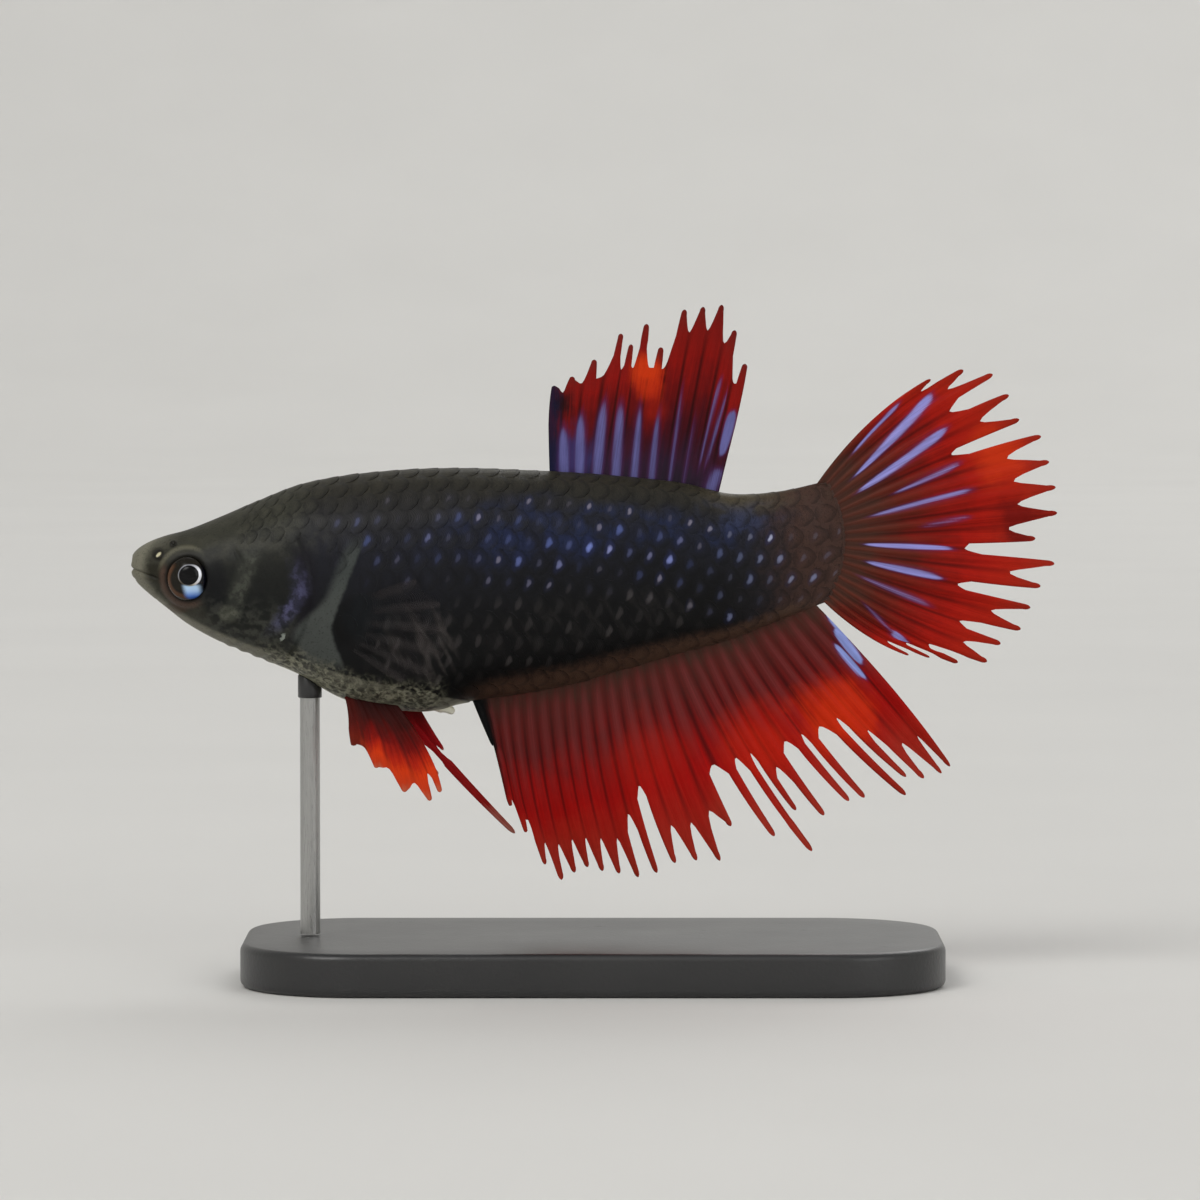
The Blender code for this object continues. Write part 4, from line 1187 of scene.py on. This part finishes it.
roots = np.linspace(*DORSAL_X, len(DORSAL_LENGTHS))
leans = [math.radians(1 + 12 * share**0.8) for share in shares_of(DORSAL_LENGTHS)]
bows = [DORSAL_BOW] * len(DORSAL_LENGTHS)
roots = list(zip(roots, body_at(roots)[:, 0]))
dorsal_rays = leaning_rays(roots, leans, DORSAL_TILTS, DORSAL_LENGTHS, 1, bows, 0.7)
dorsal_look = fin_finish(
    "dorsal_red",
    ((0.0, rgb(38, 32, 44)), (0.12, rgb(48, 26, 46)), (0.27, rgb(64, 12, 24)), (0.42, rgb(98, 9, 10)),
     (0.60, rgb(134, 14, 8)), (0.82, rgb(128, 18, 12)), (1.0, rgb(112, 28, 22))),
    line=0.7, sheen=rgb(104, 102, 160), front=(0.25, rgb(18, 20, 46), 0.9),
    glow=(
        (-1.5, 31.4, 2.2, rgb(50, 54, 108), 0.75), (3.2, 36.5, 1.3, rgb(206, 56, 10), 0.9),
        (3.4, 35.5, 1.2, rgb(200, 50, 10), 0.7), (3.7, 34.1, 1.2, rgb(150, 26, 8), 0.6),
        (-1.9, 34.6, 1.1, rgb(30, 6, 10), 0.95),
    ),
)
dorsal_sheen = (
    (0.95, -0.35, 0.6, 0.50, 0.42, 1.0), (2.05, -0.35, 1.55, 0.54, 0.38, 1.0),
    (3.3, -0.35, 2.65, 0.52, 0.38, 1.0), (4.55, -0.35, 3.9, 0.54, 0.37, 1.0),
    (5.65, -0.35, 5.3, 0.48, 0.32, 0.9), (6.9, -0.35, 6.4, 0.46, 0.28, 0.8),
    (8.0, -0.30, 7.7, 0.52, 0.15, 0.7), (8.8, -0.30, 8.8, 0.38, 0.12, 0.5),
    (9.6, 0.08, 9.9, 0.64, 0.11, 0.8), (10.0, 0.10, 10.35, 0.58, 0.11, 0.8),
    (10.85, 0.24, 11.0, 0.56, 0.26, 1.5), (10.3, -0.10, 11.0, 0.22, 0.5, 0.8),
)
dorsal = fin_piece(
    "dorsal_rays", dorsal_rays, DORSAL_WEBS, dorsal_sway, dorsal_look, dorsal_sheen, notch=0.14,
)
dress(dorsal, "fin_red", "dorsal_fin")

# %% Tail fin
CAUDAL_CENTRE = (15.12, 26.4)
CAUDAL_LENGTHS = (
    10.9, 12.4, 13.3, 13.1, 12.7, 13.3, 13.1, 13.0, 12.8, 11.4,
    12.6, 12.0, 11.8, 11.8, 11.2, 11.2, 10.0, 8.7, 7.9,
)
CAUDAL_UP, CAUDAL_SPAN = 62.0, 123.0  # degrees that the first ray rises, and from first to last
CAUDAL_ROOT, CAUDAL_BULGE, CAUDAL_HALF = 13.2, 0.8, 2.95  # x, bulge and half height of the roots' line
CAUDAL_WEBS = (6, 6, 5, 6, 4, 6, 6, 6, 6, 4, 6, 4, 6, 5, 6, 5, 5, 5)


def caudal_sway(u, out):
    """A slow wave that grows with out to the power 1.5, and a ripple that grows with out."""
    return 0.011 * out**1.5 * np.sin(2 * math.pi * u + 0.6) + 0.012 * out * np.sin(9 * math.pi * u)


def caudal_rays():
    """Rays fan from the stalk's end to tips placed round one centre, by angle and length."""
    curves = []
    for share, length in zip(shares_of(CAUDAL_LENGTHS), CAUDAL_LENGTHS):
        angle = math.radians(CAUDAL_UP - CAUDAL_SPAN * share)
        height = 1 - 2 * share
        tip = (CAUDAL_CENTRE[0] + length * math.cos(angle), CAUDAL_CENTRE[1] + length * math.sin(angle))
        root = (CAUDAL_ROOT + CAUDAL_BULGE * (1 - height**2), CAUDAL_CENTRE[1] + CAUDAL_HALF * height)
        curves.append(ray_curve(root, tip, 0.05 * height, 0.62))
    return curves


caudal_look = fin_finish(
    "tail_red",
    ((0.0, rgb(66, 44, 37)), (0.18, rgb(72, 42, 33)), (0.32, rgb(92, 26, 17)), (0.46, rgb(124, 16, 8)),
     (0.62, rgb(158, 20, 8)), (0.80, rgb(166, 28, 10)), (1.0, rgb(146, 34, 18))),
    line=0.5, ray_tint=(rgb(120, 52, 36), 0.3), sheen=rgb(150, 148, 218),
    glow=((24.2, 31.6, 2.6, rgb(204, 54, 14), 0.7), (25.4, 27.4, 2.4, rgb(86, 6, 6), 0.7)),
)
caudal_sheen = (
    (0.9, 0.22, 0.0, 0.78, 0.19, 1.1), (2.7, 0.14, 1.05, 0.82, 0.27, 1.3),
    (4.1, 0.13, 3.05, 0.68, 0.30, 1.25), (5.5, 0.26, 5.0, 0.62, 0.20, 0.75),
    (6.75, 0.14, 6.45, 0.64, 0.24, 0.85), (8.15, 0.36, 7.8, 0.60, 0.15, 0.55),
    (9.5, 0.13, 9.5, 0.56, 0.25, 1.3), (11.25, 0.15, 11.35, 0.54, 0.28, 1.3),
    (12.9, 0.13, 13.15, 0.55, 0.22, 0.65), (15.0, 0.22, 16.4, 0.58, 0.2, 0.55),
    (16.0, 0.50, 16.7, 0.70, 0.3, 1.3),
)
caudal = fin_piece(
    "tail_rays", caudal_rays(), CAUDAL_WEBS, caudal_sway, caudal_look, caudal_sheen, notch=0.14,
)
dress(caudal, "fin_red", "caudal_fin")

# %% Anal fin
ANAL_X = (-7.0, 13.3)
ANAL_LENGTHS = (
    2.8, 6.5, 8.2, 10.3, 11.4, 11.1, 10.9, 11.3, 11.7, 12.2, 12.2, 11.9, 12.1,
    12.5, 10.7, 12.2, 13.9, 11.1, 12.0, 11.9, 12.1, 13.3, 12.2, 12.7, 12.9, 12.6,
)
ANAL_WEBS = (5, 5, 5, 6, 6, 6, 6, 6, 6, 5, 4, 6, 6, 6, 4, 4, 4, 5, 4, 4, 4, 4, 5, 6, 6)
ANAL_TILTS = {0: 11.5, 1: 1.5, 15: 4.0, 16: 4.5, 19: 2.0, 21: 3.5, 22: 1.5, 25: -1.0}


def anal_sway(u, out):
    """A slow wave that grows with out to the power 1.5, and a ripple that grows with out."""
    return 0.018 * out**1.5 * np.sin(2.6 * math.pi * u) + 0.012 * out * np.sin(13 * math.pi * u)


roots = np.linspace(*ANAL_X, len(ANAL_LENGTHS))
shares = shares_of(ANAL_LENGTHS)
leans = [math.radians(9.5 + 32.0 * float(ease(share, 0.25, 1.0))) for share in shares]
bows = [
    0.049 * float(ease(share, 0.86, 1.02)) - 0.035 * float(ease(share, 0.0, 0.12)) for share in shares
]
roots = list(zip(roots, body_at(roots)[:, 1]))
anal_rays = leaning_rays(roots, leans, ANAL_TILTS, ANAL_LENGTHS, -1, bows, 7.4)
anal_look = fin_finish(
    "anal_red",
    ((0.0, rgb(66, 48, 39)), (0.05, rgb(70, 42, 34)), (0.14, rgb(84, 31, 27)), (0.32, rgb(104, 20, 19)),
     (0.46, rgb(142, 7, 5)), (0.62, rgb(158, 7, 4)), (0.76, rgb(160, 26, 15)), (1.0, rgb(152, 44, 30))),
    line=0.62, ray_tint=(rgb(112, 50, 50), 0.5), sheen=rgb(144, 158, 224), front=(0.75, rgb(6, 6, 7), 1.0),
    glow=(
        (14.6, 15.9, 3.2, rgb(214, 50, 8), 0.7), (10.0, 14.4, 3.2, rgb(204, 38, 8), 0.45),
        (3.6, 13.2, 3.4, rgb(188, 28, 8), 0.3),
    ),
)
anal_sheen = (
    (25.3, 0.10, 25.2, 0.28, 0.20, 1.3), (25.0, 0.17, 24.85, 0.41, 0.27, 1.5),
    (24.35, 0.24, 24.3, 0.50, 0.25, 1.3),
)
anal = fin_piece("anal_rays", anal_rays, ANAL_WEBS, anal_sway, anal_look, anal_sheen, notch=0.14)
dress(anal, "fin_red", "anal_fin")


# %% Pelvic and pectoral fins
def spread_rays(roots, tips, bow, margin):
    """Rays from roots spaced along a short line to tips placed one by one."""
    first, last = np.array(roots[0])[[0, 2]], np.array(roots[1])[[0, 2]]
    return [
        ray_curve(first + (last - first) * share, tip, bow, margin)
        for share, tip in zip(shares_of(tips), tips)
    ]


def paired_fin(name, roots, tips, webs, rise, bow, margin, look, **more):
    """A fin that stands out from one flank by rise for each millimetre of its length."""
    curves = spread_rays(roots, tips, bow, margin)
    return fin_piece(name, curves, webs, lambda u, out: roots[0][1] + rise * out, look, **more)


pelvic_look = fin_finish(
    "pelvic_orange",
    ((0.0, rgb(40, 10, 8)), (0.24, rgb(58, 11, 7)), (0.40, rgb(112, 9, 5)), (0.54, rgb(172, 30, 6)),
     (0.70, rgb(204, 54, 8)), (0.88, rgb(190, 54, 18)), (1.0, rgb(180, 84, 58))),
    line=0.45, front=(0.5, rgb(70, 16, 10), 0.85),
)
filament_look = fin_finish(
    "filament_red",
    ((0.0, rgb(60, 10, 10)), (0.22, rgb(110, 10, 14)), (0.50, rgb(178, 20, 28)),
     (0.85, rgb(186, 40, 40)), (1.0, rgb(214, 140, 124))),
    line=0.3,
)
left_leaf = paired_fin(
    "pelvic_leaf", ((-14.75, -1.3, 17.1), (-12.1, -1.3, 16.9)),
    ((-14.3, 14.2), (-12.9, 12.9), (-11.2, 11.5), (-9.7, 11.0), (-9.1, 11.5)),
    (6, 7, 7, 5), -0.3, 0.05, 0.7, pelvic_look,
)
dress(left_leaf, "fin_red", "pelvic_fin_left")
right_filament = paired_fin(
    "pelvic_filament", ((-13.4, 1.3, 17.1), (-10.9, 1.3, 16.7)), ((-9.4, 12.0), (-4.75, 8.35), (-9.05, 13.6)),
    (4, 4), 0.3, -0.015, 3.8, filament_look,
)
dress(right_filament, "fin_red", "pelvic_fin_right")
clear_look = fin_finish(
    "clear_fin", ((0.0, rgb(40, 38, 38)), (0.5, rgb(58, 53, 53)), (1.0, rgb(66, 60, 60))),
    line=0.3, clear=(0.20, 0.03),
)
PECTORAL_TIPS = ((-10.4, 24.2), (-9.0, 22.9), (-8.6, 21.4), (-8.8, 19.9), (-9.7, 18.8), (-11.2, 18.3))
for name, side in (("left", -1), ("right", 1)):
    fan = paired_fin(
        f"pectoral_fan_{name}", ((-14.9, side * 3.1, 22.5), (-15.1, side * 3.1, 20.5)), PECTORAL_TIPS,
        (7,) * 5, side * 0.55, 0.0, 0.7, clear_look, notch=0.05, thickness=0.55,
    )
    dress(fan, "fin_clear", f"pectoral_fin_{name}")

# %% [markdown]
# ## The stand
# The base is drawn anew with rounded edges, as a slab painted satin black. The rod keeps its
# solid, in steel drawn along its length, and a small black cap joins its top to the belly.

# %% Stand finishes
def base_finish():
    """Black paint with soft clouds, fine specks as bump and a few worn patches."""
    made = Finish("satin_black")
    cloud = made.noise(6.0, 3.0)
    speck = made.noise(0.25, 2.0)
    colour = made.mix(cloud, rgb(30, 30, 31), rgb(40, 40, 41))
    worn = made.noise(1.2, 4.0).step(0.66, 0.80)
    colour = made.mix(worn * 0.25, colour, rgb(70, 70, 70))
    return made.finish(
        Base_Color=colour, Roughness=0.34 + cloud * 0.12 + worn * 0.1, Normal=made.raised(speck, 0.02),
        Coat_Weight=0.2, Coat_Roughness=0.3,
    )


def rod_finish():
    """Steel with fine lines up the rod: noise drawn out along z."""
    made = Finish("drawn_steel")
    lines = made.noise(1.0, 2.0, made.joined(made.x * 30.0, made.y * 30.0, made.z * 1.2))
    colour = made.mix(lines, rgb(150, 150, 150), rgb(190, 190, 188))
    return made.finish(
        Base_Color=colour, Metallic=1.0, Roughness=0.22 + lines * 0.16, Normal=made.raised(lines, 0.01),
    )


CAP_WALL = 0.12
CAP_DROP = 1.15  # from the rod's highest point down to the cap's lower edge
CAP_GAP = 0.01
CAP_ROUND = 49  # points round the cap
CAP_PROFILE = ((0.0, 0.0), (0.0, 0.92), (0.05, 1.0), (0.5, 1.0), (0.93, 1.0), (1.0, 0.92), (1.0, 0.0))
SLAB_CORNER, SLAB_EDGE = 7.0, 0.45  # radius of the slab's corners seen from above, and of its edges
SLAB_INNER = 3.0  # a ring of points this far in keeps the flat faces flat
SLAB_TURN = 25  # points round one corner


def cap(name, look):
    """A turned sleeve over the rod's top, carried up to the skin that it holds.

    CAP_PROFILE gives, for each ring, the share of the way up and the share of the radius.
    """
    low, high = (np.array(corner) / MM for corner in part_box("stand_rod"))
    middle, radius = (low[:2] + high[:2]) / 2, (high[0] - low[0]) / 2 + CAP_WALL
    cells = grid_quads(*skin_grid.shape[:2]).tolist()
    tree = BVHTree.FromPolygons(skin_grid.reshape(-1, 3).tolist(), cells)
    angle = np.linspace(0.0, 2 * math.pi, CAP_ROUND)
    rings = []
    for share, out in CAP_PROFILE:
        x = middle[0] + radius * out * np.cos(angle)
        y = middle[1] + radius * out * np.sin(angle)
        top = np.array([tree.ray_cast((*at, low[2]), (0, 0, 1))[0][2] for at in zip(x, y)]) - CAP_GAP
        bottom = high[2] - CAP_DROP
        rings.append(np.stack([x, y, bottom + (top - bottom) * share], axis=1))
    points = np.stack(rings)
    return piece_from(name, points.reshape(-1, 3), [grid_quads(*points.shape[:2])], look)


def slab(name, look):
    """A rounded rectangle carried up a profile whose two edges are quarter rounds."""
    low, high = (np.array(corner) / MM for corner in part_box("stand_base"))
    middle, half = (low + high) / 2, (high - low) / 2
    quarter = np.linspace(0, math.pi / 2, SLAB_TURN)
    turn = np.concatenate([start * math.pi / 2 + quarter for start in range(4)])
    turn = np.append(turn, 0.0)
    way = np.stack([np.cos(turn), np.sin(turn)], axis=1)
    signs = np.repeat([(1, 1), (-1, 1), (-1, -1), (1, -1)], SLAB_TURN, axis=0)
    signs = np.concatenate([signs, signs[:1]])
    centre = signs * (half[:2] - SLAB_CORNER)
    edge = np.linspace(0, math.pi / 2, 7)
    inset = SLAB_EDGE * (1 - np.sin(edge))
    rise = SLAB_EDGE * (1 - np.cos(edge))
    inner = [SLAB_INNER, SLAB_CORNER]
    inset = np.concatenate([inner[::-1], inset, inset[::-1], inner])
    level = np.concatenate([[0.0, 0.0], rise, 2 * half[2] - rise[::-1], [2 * half[2]] * 2])
    ring = centre[None] + way[None] * (SLAB_CORNER - inset[:, None, None])
    height = np.broadcast_to(level[:, None, None] + low[2], (*ring.shape[:2], 1))
    points = np.concatenate([ring, height], axis=2)
    points[..., :2] += middle[:2]
    flat = points.reshape(-1, 3)
    around = len(turn)
    lids = np.array([np.arange(around - 1), np.arange(around - 1) + (len(level) - 1) * around])
    return piece_from(name, flat, [grid_quads(len(level), around), lids], look, sharp=50.0)


satin_black = base_finish()
dress(slab("stand_slab", satin_black), "stand_base", "stand_base")
dress(cap("stand_cap", satin_black), "stand_base")
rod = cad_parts["stand_rod"]
rod.data.materials.clear()
rod.data.materials.append(rod_finish())

# %% [markdown]
# ## Room, light and camera
# A pale floor curves up into a wall all round, so that every view has the same plain
# ground. Three wide lamps give soft light: one high on the left, one low on the right and
# one behind for the fins. The camera looks level at the left flank from far off.

# %% Floor
def floor_bowl():
    """A disc of 0.9 m radius whose edge curves up, by a quarter turn of 0.5 m, into a wall."""
    made = Finish("studio_floor")
    colour = made.mix(made.noise(40.0, 2.0), rgb(214, 213, 210), rgb(220, 219, 216))
    look = made.finish(Base_Color=colour, Roughness=0.9)
    turn = np.linspace(0, math.pi / 2, 13)
    radius = np.concatenate([[0.0, 200.0, 600.0], 900.0 + 500.0 * np.sin(turn), [1400.0]])
    height = np.concatenate([[0.0, 0.0, 0.0], 500.0 * (1 - np.cos(turn)), [1600.0]])
    angle = np.linspace(0, 2 * math.pi, 65)
    points = np.stack(np.broadcast_arrays(
        radius[:, None] * np.cos(angle), radius[:, None] * np.sin(angle), height[:, None] + floor_z), axis=2)
    cells = [grid_quads(*points.shape[:2])]
    piece_from("studio_bowl", points.reshape(-1, 3), cells, look, turn_out=False)


floor_bowl()


# %% Lamps and world
def lamp(name, place, size, watts, tint=(1.0, 1.0, 1.0)):
    """A square lamp at place in metres, facing the fish."""
    light = bpy.data.lights.new(name, "AREA")
    light.size, light.energy, light.color = size, watts, tint
    made = bpy.data.objects.new(name, light)
    bpy.context.scene.collection.objects.link(made)
    made.location = place
    toward = np.array([0.0, 0.0, 0.024]) - np.array(place)
    flat = math.hypot(toward[0], toward[1])
    made.rotation_euler = (math.pi / 2 + math.atan2(toward[2], flat), 0.0, math.atan2(-toward[0], toward[1]))
    return made


lamp("key", (-0.60, -0.85, 1.05), 0.70, 8.6, (1.0, 0.99, 0.97))
lamp("fill", (0.85, -0.80, 0.50), 0.80, 3.0)
lamp("back", (0.33, 1.0, 0.95), 0.75, 4.6)
world = bpy.data.worlds.new("studio")
world.use_nodes = True
world.node_tree.nodes["Background"].inputs[0].default_value = (0.92, 0.93, 0.95, 1.0)
world.node_tree.nodes["Background"].inputs[1].default_value = 0.45
bpy.context.scene.world = world
bpy.context.scene.view_settings.view_transform = "Standard"

# %% Camera
LENS, SENSOR = 200.0, 36.0
FIELD = 72.0  # millimetres seen across at the fish
AIM = (0.42, 0.0, 22.8)
ELEVATION = math.radians(3.0)
camera_data = bpy.data.cameras.new("camera")
camera_data.lens, camera_data.sensor_width = LENS, SENSOR
camera_data.clip_start, camera_data.clip_end = 0.01, 10.0
camera = bpy.data.objects.new("camera", camera_data)
bpy.context.scene.collection.objects.link(camera)
distance = FIELD / 2 / (SENSOR / 2 / LENS)
camera.location = (
    AIM[0] * MM, -distance * math.cos(ELEVATION) * MM, (AIM[2] + distance * math.sin(ELEVATION)) * MM,
)
camera.rotation_euler = (math.pi / 2 - ELEVATION, 0.0, 0.0)
bpy.context.scene.camera = camera
print("camera", round(distance), "mm away")
